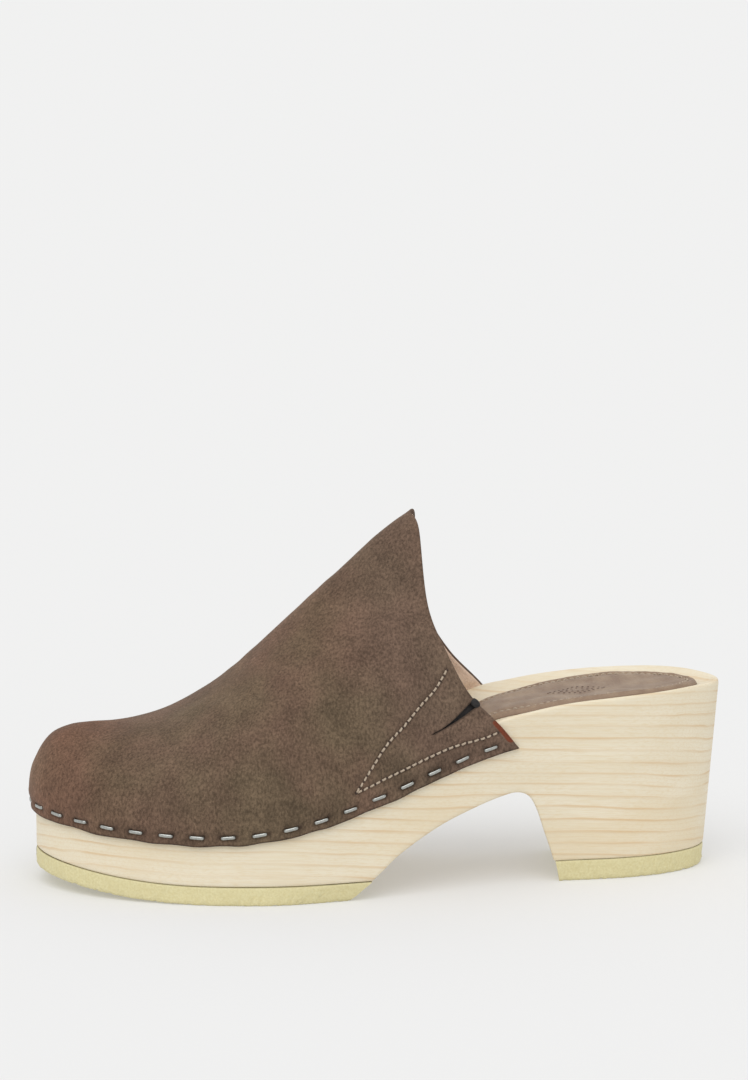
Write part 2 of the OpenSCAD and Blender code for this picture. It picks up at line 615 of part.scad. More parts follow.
module sock_seam() {
    ring = pad_ring(1, 0, pad_seam_margin);
    points = concat(ring, [ring[0]]);
    sums = totals(points);
    whole = sums[len(sums) - 1];
    count = floor(whole / stitch_pitch);
    lift = 2 * glue_gap + pad_leather + foam_thickness * 0.45;
    color("tan")
        for (k = [0:count - 1]) {
            t = place_along(sums, (k + 0.5) * whole / count);
            set_on(point_along(points, t) + [0, 0, lift], step_along(points, t), [0, 0, 1])
                rotate([0, 90, 0])
                    cylinder(h = stitch_length, d = thread_size, center = true, $fn = 16);
        }
}

wooden_sole();
forefoot_outsole();
heel_top_lift();
suede_upper();
vamp_lining();
toe_puff();
gore_elastic();
gore_seam_upper();
gore_seam_lower();
staples();
sock_foam();
sock_cover();
sock_seam();
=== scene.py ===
"""A stapled clog: a carved wooden sole, rubber treads, a high suede upper and a padded heel sock.

The classes hold their sizes in millimetres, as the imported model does, and every mesh is made in metres
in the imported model's frame: -X is the toe, -Y the outer side of the foot and +Z is up.
"""

import logging
import math
from dataclasses import dataclass
from enum import Enum
from typing import Callable, Sequence

import bmesh
import bpy
import numpy as np
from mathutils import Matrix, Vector


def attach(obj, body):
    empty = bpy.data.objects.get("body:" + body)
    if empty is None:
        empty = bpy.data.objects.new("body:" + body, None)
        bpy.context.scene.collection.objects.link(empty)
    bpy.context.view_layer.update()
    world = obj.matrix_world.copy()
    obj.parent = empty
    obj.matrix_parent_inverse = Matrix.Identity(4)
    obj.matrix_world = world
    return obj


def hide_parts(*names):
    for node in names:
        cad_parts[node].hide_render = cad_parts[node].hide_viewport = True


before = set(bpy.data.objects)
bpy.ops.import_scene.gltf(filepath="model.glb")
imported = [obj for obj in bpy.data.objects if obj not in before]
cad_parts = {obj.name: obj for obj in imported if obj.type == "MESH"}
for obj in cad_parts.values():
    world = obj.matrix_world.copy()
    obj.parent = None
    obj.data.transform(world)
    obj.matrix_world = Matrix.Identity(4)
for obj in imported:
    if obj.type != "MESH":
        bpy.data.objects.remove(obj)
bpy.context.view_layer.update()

Array = np.ndarray
Material = bpy.types.Material
Node = bpy.types.Node
Piece = bpy.types.Object
Socket = bpy.types.NodeSocket
Colour = tuple[float, float, float]
MM = 0.001
BODY = "root"
OUTER, INNER = -1, 1
NEAR = 0.02  # how far to either side a slope along the plan is read, in stations
LOG = logging.getLogger("clog")


# ---------- curves ----------

def mix(a: Array | float, b: Array | float, t: Array | float) -> Array | float:
    """The value at share t of the way from a to b."""
    return a + (b - a) * t


def ease(t: Array | float) -> Array:
    """A share from 0 to 1 that starts and stops gently."""
    c = np.clip(t, 0, 1)
    return c * c * (3 - 2 * c)


def fade(start: float, end: float, x: Array | float) -> Array:
    """0 at start and 1 at end, smoothly."""
    return ease((x - start) / (end - start))


def hermite(a: Array, b: Array, ta: Array, tb: Array, t: Array) -> Array:
    """A cubic from a to b with end tangents ta and tb."""
    return (a * (2 * t ** 3 - 3 * t ** 2 + 1) + ta * (t ** 3 - 2 * t ** 2 + t)
            + b * (3 * t ** 2 - 2 * t ** 3) + tb * (t ** 3 - t ** 2))


def curve_at(knots: Sequence[Sequence[float]], x: Array | float) -> Array:
    """Reads a smooth curve.

    Args:
        knots: rows of place and value, in order of place.
        x: where to read it. It is held at its end values outside the knots.

    Returns:
        The curve's value at each x.
    """
    places, values = np.array(knots, float).T
    last = len(places) - 1
    after, before = np.minimum(np.arange(last + 1) + 1, last), np.maximum(np.arange(last + 1) - 1, 0)
    slopes = (values[after] - values[before]) / (places[after] - places[before])
    i = np.clip(np.searchsorted(places, x, side="right") - 1, 0, last - 1)
    width = places[i + 1] - places[i]
    t = np.clip((x - places[i]) / width, 0, 1)
    return hermite(values[i], values[i + 1], slopes[i] * width, slopes[i + 1] * width, t)


def lines_at(points: Array, t: Array) -> Array:
    """Reads smooth lines through points.

    Args:
        points: (lines, points, 3).
        t: (lines, places), where one unit is one stretch between points.

    Returns:
        (lines, places, 3) positions.
    """
    last = points.shape[1] - 1
    after, before = np.minimum(np.arange(last + 1) + 1, last), np.maximum(np.arange(last + 1) - 1, 0)
    tangents = (points[:, after] - points[:, before]) / (after - before)[None, :, None]
    i = np.clip(np.floor(t).astype(int), 0, last - 1)
    row = np.arange(len(points))[:, None]
    share = (t - i)[..., None]
    return hermite(points[row, i], points[row, i + 1], tangents[row, i], tangents[row, i + 1], share)


def outline_at(rows: Array, mirror: Sequence[float], t: Array) -> Array:
    """Reads a smooth outline that closes square to its length at both ends.

    Args:
        rows: (rows, columns), of which the first and the last lie on the middle line.
        mirror: for each column 1, or -1 where the outline's other side has it with the other sign.
        t: where to read it, with one unit for each stretch between rows.

    Returns:
        The columns' values at each t.
    """
    rows = np.vstack([rows[1] * mirror, rows, rows[-2] * mirror])
    i = np.clip(np.floor(t).astype(int), 0, len(rows) - 4)
    share = (t - i)[..., None]
    start, end = (rows[i + 2] - rows[i]) / 2, (rows[i + 3] - rows[i + 1]) / 2
    return hermite(rows[i + 1], rows[i + 2], start, end, share)


def length_of(points: Array) -> float:
    """The length of an open line."""
    return np.linalg.norm(np.diff(points, axis=0), axis=1).sum()


def unit(v: Array) -> Array:
    """Vectors at length 1."""
    return v / np.maximum(np.linalg.norm(v, axis=-1, keepdims=True), 1e-9)


def ripple(points: Array, wavelength: float, seed: int, stretch: Sequence[float] = (1, 1, 1)) -> Array:
    """Smooth random relief, the same in every run.

    Args:
        points: (..., 3) positions.
        wavelength: its usual distance from crest to crest.
        seed: picks the pattern.
        stretch: how much longer the pattern runs along each axis.

    Returns:
        Heights of about -1 to 1.
    """
    rng = np.random.default_rng(seed)
    waves = 16
    ways = unit(rng.normal(size=(waves, 3))) / np.array(stretch)
    pace = 2 * math.pi / (wavelength * rng.uniform(0.7, 1.5, waves))
    phase = rng.uniform(0, 2 * math.pi, waves)
    return np.sin(points @ (ways * pace[:, None]).T + phase).sum(-1) / math.sqrt(waves)


def spaced(points: Array, ways: Array, count: int, margin: float) -> tuple[Array, Array]:
    """Sets out even places along an open line.

    Args:
        points: (points, 3) of the line.
        ways: (points, 3), a direction at each of them.
        count: how many places.
        margin: distance left free at both ends.

    Returns:
        The places' points and directions.
    """
    run = np.concatenate([[0], np.cumsum(np.linalg.norm(np.diff(points, axis=0), axis=1))])
    places = np.interp(np.linspace(margin, run[-1] - margin, count), run, np.arange(len(points)))
    low = np.clip(np.floor(places).astype(int), 0, len(points) - 2)
    share = (places - low)[:, None]
    return mix(points[low], points[low + 1], share), unit(mix(ways[low], ways[low + 1], share))


# ---------- meshes ----------

def make_object(name: str, points: Array, faces: Sequence[Sequence[int]], paint: Array | None = None,
                sharp: float = 35) -> Piece:
    """Makes a smooth-shaded object from millimetre points, with what coincides merged.

    Args:
        name: the object's name.
        points: (points, 3) in millimetres.
        faces: vertex indices, wound to point outwards.
        paint: material index of each face.
        sharp: edges bent by more than this many degrees stay sharp.

    Returns:
        The new object.
    """
    mesh = bpy.data.meshes.new(name)
    mesh.from_pydata((np.asarray(points) * MM).tolist(), [], [list(map(int, f)) for f in faces])
    if paint is not None:
        mesh.polygons.foreach_set("material_index", np.asarray(paint, np.int32))
    obj = bpy.data.objects.new(name, mesh)
    bpy.context.scene.collection.objects.link(obj)
    for label, values in _marks.items():
        mark = mesh.attributes.new(label, "FLOAT", "POINT")
        mark.data.foreach_set("value", np.asarray(values, np.float32).ravel())
    _marks.clear()
    made = bmesh.new()
    made.from_mesh(mesh)
    bmesh.ops.remove_doubles(made, verts=made.verts, dist=2e-6)
    made.to_mesh(mesh)
    made.free()
    mesh.shade_smooth()
    mesh.set_sharp_from_angle(angle=math.radians(sharp))
    return obj


_marks: dict[str, Array] = {}


def mark_next(**values: Array) -> None:
    """Gives the next object made these values at its points, for its finish to read."""
    _marks.update(values)


def shell_faces(rows: int, columns: int, closed_start: bool, keep: Array) -> tuple[Array, Array]:
    """Faces of a sheet with a thickness, whose outer points come first and inner points second.

    Args:
        rows: rows of points.
        columns: points in each row.
        closed_start: the first row is folded on itself, so that it needs no edge.
        keep: (rows - 1, columns - 1), False where the sheet has a hole.

    Returns:
        The faces, and their kind: 0 outer face, 1 inner face, 2 edge, 3 the last row's edge.
    """
    size = rows * columns
    i, j = np.nonzero(keep)
    a, b = i * columns + j, (i + 1) * columns + j
    c, d = b + 1, a + 1
    faces = [np.stack([a, b, c, d], 1), np.stack([a, d, c, b], 1) + size]
    kinds = [np.zeros(len(a), int), np.ones(len(a), int)]
    framed = np.pad(keep, 1)
    for (di, dj), (p, q), kind in (((0, -1), (a, b), 2), ((0, 1), (c, d), 2), ((1, 0), (b, c), 3),
                                   ((-1, 0), (d, a), 2)):
        bare = ~framed[i + 1 + di, j + 1 + dj]
        if di == -1 and closed_start:
            bare &= i > 0
        faces.append(np.stack([q[bare], p[bare], p[bare] + size, q[bare] + size], 1))
        kinds.append(np.full(bare.sum(), kind))
    return np.concatenate(faces), np.concatenate(kinds)


def loft_faces(count: int, size: int, flip: bool = False) -> list[list[int]]:
    """Walls between rings that follow one another.

    Args:
        count: how many rings.
        size: points in each ring.
        flip: turns the faces round.

    Returns:
        The faces.
    """
    faces = []
    for r in range(count - 1):
        for k in range(size):
            a, b = r * size + k, r * size + (k + 1) % size
            faces.append([a, a + size, b + size, b] if flip else [a, b, b + size, a + size])
    return faces


def blunt_ends(count: int, size: int, flip: bool = False) -> list[list[int]]:
    """The first and the last ring, each as one face."""
    first, last = list(range(size)), [(count - 1) * size + k for k in range(size)]
    return [first, last[::-1]] if flip else [first[::-1], last]


def both_sides(face: Array, under: Array) -> Array:
    """A sheet's outer points and then its inner ones, as shell_faces counts them."""
    return np.concatenate([face.reshape(-1, 3), under.reshape(-1, 3)])


def cap_faces(base: int, size: int, flip: bool) -> list[list[int]]:
    """Closes a ring straight across.

    Args:
        base: index of the ring's first point.
        size: points in the ring.
        flip: turns the faces round.

    Returns:
        The faces.
    """
    faces = []
    for i in range(size // 2):
        a, b, c, d = base + i, base + i + 1, base + size - i - 1, base + (size - i) % size
        face = [d, b, c] if i == 0 else [a, b, d] if i == size // 2 - 1 else [a, b, c, d]
        faces.append(face[::-1] if flip else face)
    return faces


def stack_faces(count: int, size: int) -> list[list[int]]:
    """Faces of rings stacked from the underside out and over to the top, with both ends closed."""
    return cap_faces(0, size, True) + loft_faces(count, size) + cap_faces((count - 1) * size, size, False)


def tube(path: Array, width: float, thickness: float, sides: int, flat: Array,
         swell: Array | None = None) -> tuple[Array, list[list[int]]]:
    """Sweeps a flattened round section along an open path, with domed ends.

    Args:
        path: (points, 3).
        width: across the section, square to both path and flat.
        thickness: across the section, along flat.
        sides: points round the section.
        flat: (points, 3), the thin direction at each point.
        swell: how full the section is at each point, or None for blunt ends.

    Returns:
        Points and faces.
    """
    tangent = unit(np.gradient(path, axis=0))
    wide = unit(np.cross(flat, tangent))
    thin = unit(np.cross(tangent, wide))
    angle = np.linspace(0, 2 * math.pi, sides, endpoint=False)
    ends = np.ones(len(path)) if swell is None else swell
    if swell is None:
        ends[[0, -1]] = 0.55
    ring = (np.cos(angle)[None, :, None] * wide[:, None] * width / 2
            + np.sin(angle)[None, :, None] * thin[:, None] * thickness / 2) * ends[:, None, None]
    points = (path[:, None] + ring).reshape(-1, 3)
    return points, loft_faces(len(path), sides) + blunt_ends(len(path), sides)


def dress(obj: Piece, slot: str, finishes: Sequence[Material], *nodes: str) -> Piece:
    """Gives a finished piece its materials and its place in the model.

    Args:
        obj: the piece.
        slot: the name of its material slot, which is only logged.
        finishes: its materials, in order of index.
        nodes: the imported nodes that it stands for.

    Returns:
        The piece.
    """
    if len(obj.data.materials) == 0:
        for finish in finishes:
            obj.data.materials.append(finish)
    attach(obj, BODY)
    if nodes:
        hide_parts(*nodes)
    LOG.info("%s: %d faces, %s", obj.name, len(obj.data.polygons), slot)
    return obj


# ---------- finishes ----------

def tone(red: int, green: int, blue: int) -> Colour:
    """A colour seen as these 0 to 255 values, as linear light."""
    return tuple(v / 255 / 12.92 if v < 11 else ((v / 255 + 0.055) / 1.055) ** 2.4
                 for v in (red, green, blue))


class NodeMaker:
    """Something that holds a node tree and builds it by short calls."""

    tree: bpy.types.NodeTree

    def add(self, kind: str, inputs: dict[str | int, object] | None = None, **settings: object) -> Node:
        """Adds a node.

        Args:
            kind: the node's type.
            inputs: sockets to link from, or values, by input name or index.
            settings: the node's properties.

        Returns:
            The node.
        """
        node = self.tree.nodes.new(kind)
        for key, value in settings.items():
            setattr(node, key, value)
        for key, value in (inputs or {}).items():
            if isinstance(value, Socket):
                self.tree.links.new(value, node.inputs[key])
            else:
                node.inputs[key].default_value = value
        return node


class Graph(NodeMaker):
    """A material's node tree."""

    def __init__(self, name: str, roughness: float, **shader: float | Colour) -> None:
        """Starts a material.

        Args:
            name: the material's name.
            roughness: the surface's even roughness.
            shader: other inputs of the surface, named with underscores for spaces.
        """
        self.material = bpy.data.materials.new(name)
        self.material.use_nodes = True
        self.tree = self.material.node_tree
        self.shader = self.tree.nodes["Principled BSDF"]
        self.shader.inputs["Roughness"].default_value = roughness
        for key, value in shader.items():
            socket = self.shader.inputs[key.replace("_", " ")]
            socket.default_value = (*value, 1) if isinstance(value, tuple) else value

    def place(self, scale: Sequence[float] = (1, 1, 1), turn: Sequence[float] = (0, 0, 0)) -> Socket:
        """Object coordinates, turned by degrees and then stretched.

        Args:
            scale: stretch along each axis.
            turn: degrees about each axis.

        Returns:
            The turned and stretched object coordinates.
        """
        spot = self.add("ShaderNodeTexCoord").outputs["Object"]
        turned = self.add("ShaderNodeMapping", {"Vector": spot, "Rotation": [math.radians(a) for a in turn]})
        return self.add("ShaderNodeMapping", {"Vector": turned.outputs[0], "Scale": list(scale)}).outputs[0]

    def noise(self, vector: Socket, grain: float, detail: float = 2) -> Socket:
        """Soft noise whose patches are about grain millimetres across."""
        inputs = {"Vector": vector, "Scale": 1 / (grain * MM), "Detail": detail}
        return self.add("ShaderNodeTexNoise", inputs).outputs[0]

    def cells(self, vector: Socket, grain: float) -> Socket:
        """Distance to the middle of cells about grain millimetres across."""
        return self.add("ShaderNodeTexVoronoi", {"Vector": vector, "Scale": 1 / (grain * MM)}).outputs[0]

    def mark(self, name: str) -> Socket:
        """The value that the mesh carries under this name."""
        return self.add("ShaderNodeAttribute", attribute_name=name).outputs["Fac"]

    def sums(self, kind: str, a: object, b: object = 0.0, c: object = 0.0) -> Socket:
        """One sum of numbers or sockets."""
        return self.add("ShaderNodeMath", {0: a, 1: b, 2: c}, operation=kind).outputs[0]

    def ramp(self, share: Socket, *stops: tuple[float, Colour]) -> Socket:
        """Colours along a share.

        Args:
            share: the socket that is read.
            stops: places and colours, in order.

        Returns:
            The colour socket.
        """
        node = self.add("ShaderNodeValToRGB", {0: share})
        bar = node.color_ramp.elements
        while len(bar) < len(stops):
            bar.new(0.5)
        for element, (place, colour) in zip(bar, stops):
            element.position = place
            element.color = (*colour, 1)
        return node.outputs[0]

    def blend(self, share: object, a: object, b: object, kind: str = "MIX") -> Socket:
        """Mixes two colours.

        Args:
            share: how much of b.
            a: the first colour, as a socket or a tuple.
            b: the second one.
            kind: how they mix.

        Returns:
            The colour socket.
        """
        full = [(*v, 1) if isinstance(v, tuple) else v for v in (a, b)]
        inputs = {0: share, 6: full[0], 7: full[1]}
        return self.add("ShaderNodeMix", inputs, data_type="RGBA", blend_type=kind).outputs[2]

    def end(self, colour: Socket, *reliefs: tuple[Socket, float]) -> Material:
        """Joins colour and relief to the surface.

        Args:
            colour: the surface's colour.
            reliefs: height sockets with their depth in millimetres.

        Returns:
            The material.
        """
        self.tree.links.new(colour, self.shader.inputs["Base Color"])
        below = None
        for height, depth in reliefs:
            inputs = {"Height": height, "Distance": depth * MM, "Strength": 1.0}
            if below is not None:
                inputs["Normal"] = below
            below = self.add("ShaderNodeBump", inputs).outputs[0]
        if below is not None:
            self.tree.links.new(below, self.shader.inputs["Normal"])
        return self.material


@dataclass(frozen=True)
class WoodFinish:
    """Pale oiled pine with fine growth lines that run along the shoe."""

    pale: Colour = tone(229, 218, 193)
    cream: Colour = tone(234, 225, 203)
    warm: Colour = tone(222, 203, 166)
    line: Colour = tone(207, 163, 104)
    pitch: float = 4.3
    wander: float = 9.0
    quiver: float = 0.9
    tilt: tuple[float, float, float] = (7, -2.6, 0)

    def lines(self, g: Graph, pitch: float, offset: float) -> Socket:
        """How much late wood shows, as narrow wandering lines.

        Args:
            g: the graph it is drawn in.
            pitch: millimetres from one line to the next.
            offset: millimetres by which the lines are shifted.

        Returns:
            The share of late wood, from 0 to 1.
        """
        height = g.add("ShaderNodeSeparateXYZ", {0: g.place(turn=self.tilt)}).outputs[2]
        slow = g.noise(g.place((0.3, 0.7, 1), self.tilt), 42, 2)
        quick = g.noise(g.place((0.16, 1, 1), self.tilt), 4, 2)
        drift = g.sums("MULTIPLY_ADD", slow, self.wander * MM, height)
        drift = g.sums("MULTIPLY_ADD", quick, self.quiver * MM, drift)
        ring = g.sums("FRACT", g.sums("MULTIPLY_ADD", drift, 1 / (pitch * MM), offset))
        return g.ramp(ring, (0.0, (0.1,) * 3), (0.35, (0,) * 3), (0.74, (0.1,) * 3), (0.92, (1,) * 3),
                      (0.965, (0.8,) * 3), (1.0, (0.1,) * 3))

    def material(self) -> Material:
        """Makes the material.

        Returns:
            The material.
        """
        g = Graph("pine", 0.62, Specular_IOR_Level=0.3)
        late = self.lines(g, self.pitch, 0)
        faint = self.lines(g, self.pitch * 0.37, 0.3)
        strong = g.ramp(g.noise(g.place((0.25, 1, 1)), 13, 1), (0.35, (0.22,) * 3), (0.66, (1,) * 3))
        streak = g.noise(g.place((0.035, 1, 1), self.tilt), 0.5, 3)
        flame = g.noise(g.place((0.22, 0.8, 1), self.tilt), 12, 3)
        ground = g.blend(g.ramp(flame, (0.36, (0,) * 3), (0.66, (1,) * 3)), self.pale, self.cream)
        patches = g.ramp(g.noise(g.place((0.3, 1, 1)), 34), (0.5, (0,) * 3), (0.8, (0.75,) * 3))
        ground = g.blend(patches, ground, self.warm)
        ground = g.blend(g.sums("MULTIPLY", g.sums("MULTIPLY", late, strong), 0.56), ground, self.line)
        ground = g.blend(g.sums("MULTIPLY", faint, 0.12), ground, self.line)
        ground = g.blend(g.ramp(streak, (0.46, (0,) * 3), (0.75, (0.55,) * 3)), ground, self.warm)
        return g.end(ground, (streak, 0.06), (late, 0.05))


@dataclass(frozen=True)
class SuedeFinish:
    """Brushed taupe suede, redder at the toe and greyer at the rear, dark at its cut edges, with painted
    shade round the staples and in the gore's seam grooves.
    """

    taupe: Colour = tone(105, 84, 70)
    red: Colour = tone(112, 80, 64)
    olive: Colour = tone(99, 84, 67)
    grey: Colour = tone(104, 86, 74)
    paler_toe_patch: Colour = tone(126, 102, 82)
    # colour of the darker cut edges and of the painted shade at the staples and seam grooves; it also mottles
    # the raw edge
    dark: Colour = tone(52, 40, 34)
    rust: Colour = tone(150, 76, 50)

    def material(self) -> Material:
        """Makes the material.

        Returns:
            The material.
        """
        g = Graph("suede", 0.95, Specular_IOR_Level=0.12, Sheen_Weight=0.22, Sheen_Roughness=0.5,
                  Sheen_Tint=tone(205, 190, 175))
        here = g.place()
        patches = g.ramp(g.noise(here, 34), (0.4, (0, 0, 0)), (0.62, (1, 1, 1)))
        colour = g.blend(patches, self.taupe, self.olive)
        colour = g.blend(g.sums("MULTIPLY", g.mark("toe"), 0.8), colour, self.red)
        colour = g.blend(g.sums("MULTIPLY", g.mark("rear"), 0.55), colour, self.grey)
        # a paler patch on the toe, about 17 mm above the lower edge
        colour = g.blend(g.mark("paler_toe_patch"), colour, self.paler_toe_patch)
        cloud = g.ramp(g.noise(here, 11, 4), (0.3, (0.8,) * 3), (0.7, (1.2,) * 3))
        nap = g.ramp(g.noise(g.place((1, 1, 0.6)), 0.85, 4), (0.3, (0.64,) * 3), (0.72, (1.36,) * 3))
        speck = g.ramp(g.noise(here, 0.24, 1), (0.32, (0.74,) * 3), (0.68, (1.24,) * 3))
        for layer in (cloud, nap, speck):
            colour = g.blend(1.0, colour, layer, "MULTIPLY")
        # dark mark: darker cut edges, plus painted shade round the staples and in the seam grooves
        colour = g.blend(g.mark("dark"), colour, self.dark)
        rust = g.blend(g.noise(here, 0.6, 2), self.rust, self.dark)
        colour = g.blend(g.ramp(g.mark("raw"), (0.35, (0,) * 3), (0.6, (1,) * 3)), colour, rust)
        return g.end(colour, (g.noise(here, 0.8, 3), 0.2), (g.noise(here, 0.3, 1), 0.08),
                     (g.noise(here, 5), 0.3))


@dataclass(frozen=True)
class LeatherFinish:
    """Smooth leather with a fine pebble grain and soft creases, with painted shade in the creases and between
    the pebbles.
    """

    name: str
    colour: Colour
    deep: Colour
    grain: float = 0.7
    creases: float = 5
    roughness: float = 0.6

    def material(self) -> Material:
        """Makes the material.

        Returns:
            The material.
        """
        g = Graph(self.name, self.roughness, Specular_IOR_Level=0.3)
        here = g.place()
        pebble = g.cells(here, self.grain)
        crease = g.noise(g.place((1, 0.45, 1)), self.creases, 4)
        # painted shade: darker where the creases sink
        colour = g.blend(g.ramp(crease, (0.35, (0, 0, 0)), (0.7, (1, 1, 1))), self.deep, self.colour)
        # painted shade: darker in the grooves between the pebbles
        rims = g.sums("MULTIPLY", g.ramp(pebble, (0.0, (0, 0, 0)), (0.8, (1, 1, 1))), 0.35)
        colour = g.blend(rims, colour, self.deep)
        mottle = g.ramp(g.noise(here, 0.5), (0.3, (0.93,) * 3), (0.7, (1.07,) * 3))
        colour = g.blend(1.0, colour, mottle, "MULTIPLY")
        # dark mark: painted shade along the heel pad's rolled edge
        colour = g.blend(g.mark("dark"), colour, self.deep)
        return g.end(colour, (g.sums("MULTIPLY", pebble, -1.0), 0.1), (crease, 0.25))


@dataclass(frozen=True)
class FlatFinish:
    """A plain substance with a mottled colour and a fine relief."""

    name: str
    colour: Colour
    deep: Colour
    roughness: float
    grain: float
    relief: float = 0.1
    metallic: float = 0
    stretch: tuple[float, float, float] = (1, 1, 1)
    # colour of a dark glue line, partly painted shade in the gap under the wood, laid on by the dark mark
    glue_and_gap_shade: Colour = tone(70, 62, 52)

    def material(self) -> Material:
        """Makes the material.

        Returns:
            The material.
        """
        g = Graph(self.name, self.roughness, Metallic=self.metallic)
        here = g.place(self.stretch)
        fine = g.noise(here, self.grain, 3)
        colour = g.blend(g.ramp(fine, (0.35, (0, 0, 0)), (0.65, (1, 1, 1))), self.deep, self.colour)
        colour = g.blend(g.sums("MULTIPLY", g.noise(here, self.grain * 9), 0.5), colour, self.deep)
        # dark mark: the tread's dark glue line, partly painted shade in the gap under the wood
        colour = g.blend(g.mark("dark"), colour, self.glue_and_gap_shade)
        return g.end(colour, (fine, self.relief))


@dataclass(frozen=True)
class FloorFinish:
    """A pale backlit studio floor, on which shadows stay light."""

    colour: Colour = (0.575, 0.575, 0.572)
    glow: float = 0.25

    def material(self) -> Material:
        """Makes the material.

        Returns:
            The material.
        """
        g = Graph("studio_floor", 0.9, Base_Color=self.colour, Emission_Color=(1.0, 1.0, 1.0),
                  Emission_Strength=self.glow, Specular_IOR_Level=0.0)
        return g.material


class Finish(Enum):
    """The clog's finishes."""

    WOOD = WoodFinish()
    SUEDE = SuedeFinish()
    LINING = LeatherFinish("lining_leather", tone(240, 217, 196), tone(216, 188, 167), 0.5, 9, 0.62)
    PAD = LeatherFinish("pad_leather", tone(166, 144, 121), tone(136, 113, 94), 0.8, 6, 0.5)
    RUBBER = FlatFinish("crepe_rubber", tone(224, 216, 172), tone(212, 201, 152), 0.6, 0.8, 0.16,
                        glue_and_gap_shade=tone(120, 112, 92))
    STEEL = FlatFinish("staple_steel", (0.52, 0.53, 0.5), (0.36, 0.37, 0.35), 0.34, 0.6, 0.03, 1.0)
    THREAD = FlatFinish("linen_thread", tone(203, 188, 168), tone(158, 140, 120), 0.8, 0.3, 0.12)
    ELASTIC = FlatFinish("black_elastic", tone(40, 36, 34), tone(18, 16, 15), 0.7, 0.5, 0.2, 0.0, (0.2, 1, 1))
    RAW_EDGE = FlatFinish("raw_edge", tone(132, 66, 40), tone(84, 36, 24), 0.9, 0.5, 0.2)
    CUT_EDGE = FlatFinish("cut_edge", tone(88, 68, 56), tone(52, 40, 34), 0.9, 0.5, 0.15)
    STAMP = FlatFinish("stamped_leather", tone(112, 92, 78), tone(96, 78, 66), 0.5, 0.5, 0.05)
    STIFFENER = FlatFinish("stiffener_board", tone(196, 178, 140), tone(176, 156, 120), 0.85, 0.8)
    FLOOR = FloorFinish()

    @property
    def material(self) -> Material:
        """The finish's material, made when it is first asked for.

        Returns:
            The material.
        """
        if self.name not in _made:
            _made[self.name] = self.value.material()
        return _made[self.name]


_made: dict[str, Material] = {}


# ---------- setting pieces out along a path ----------

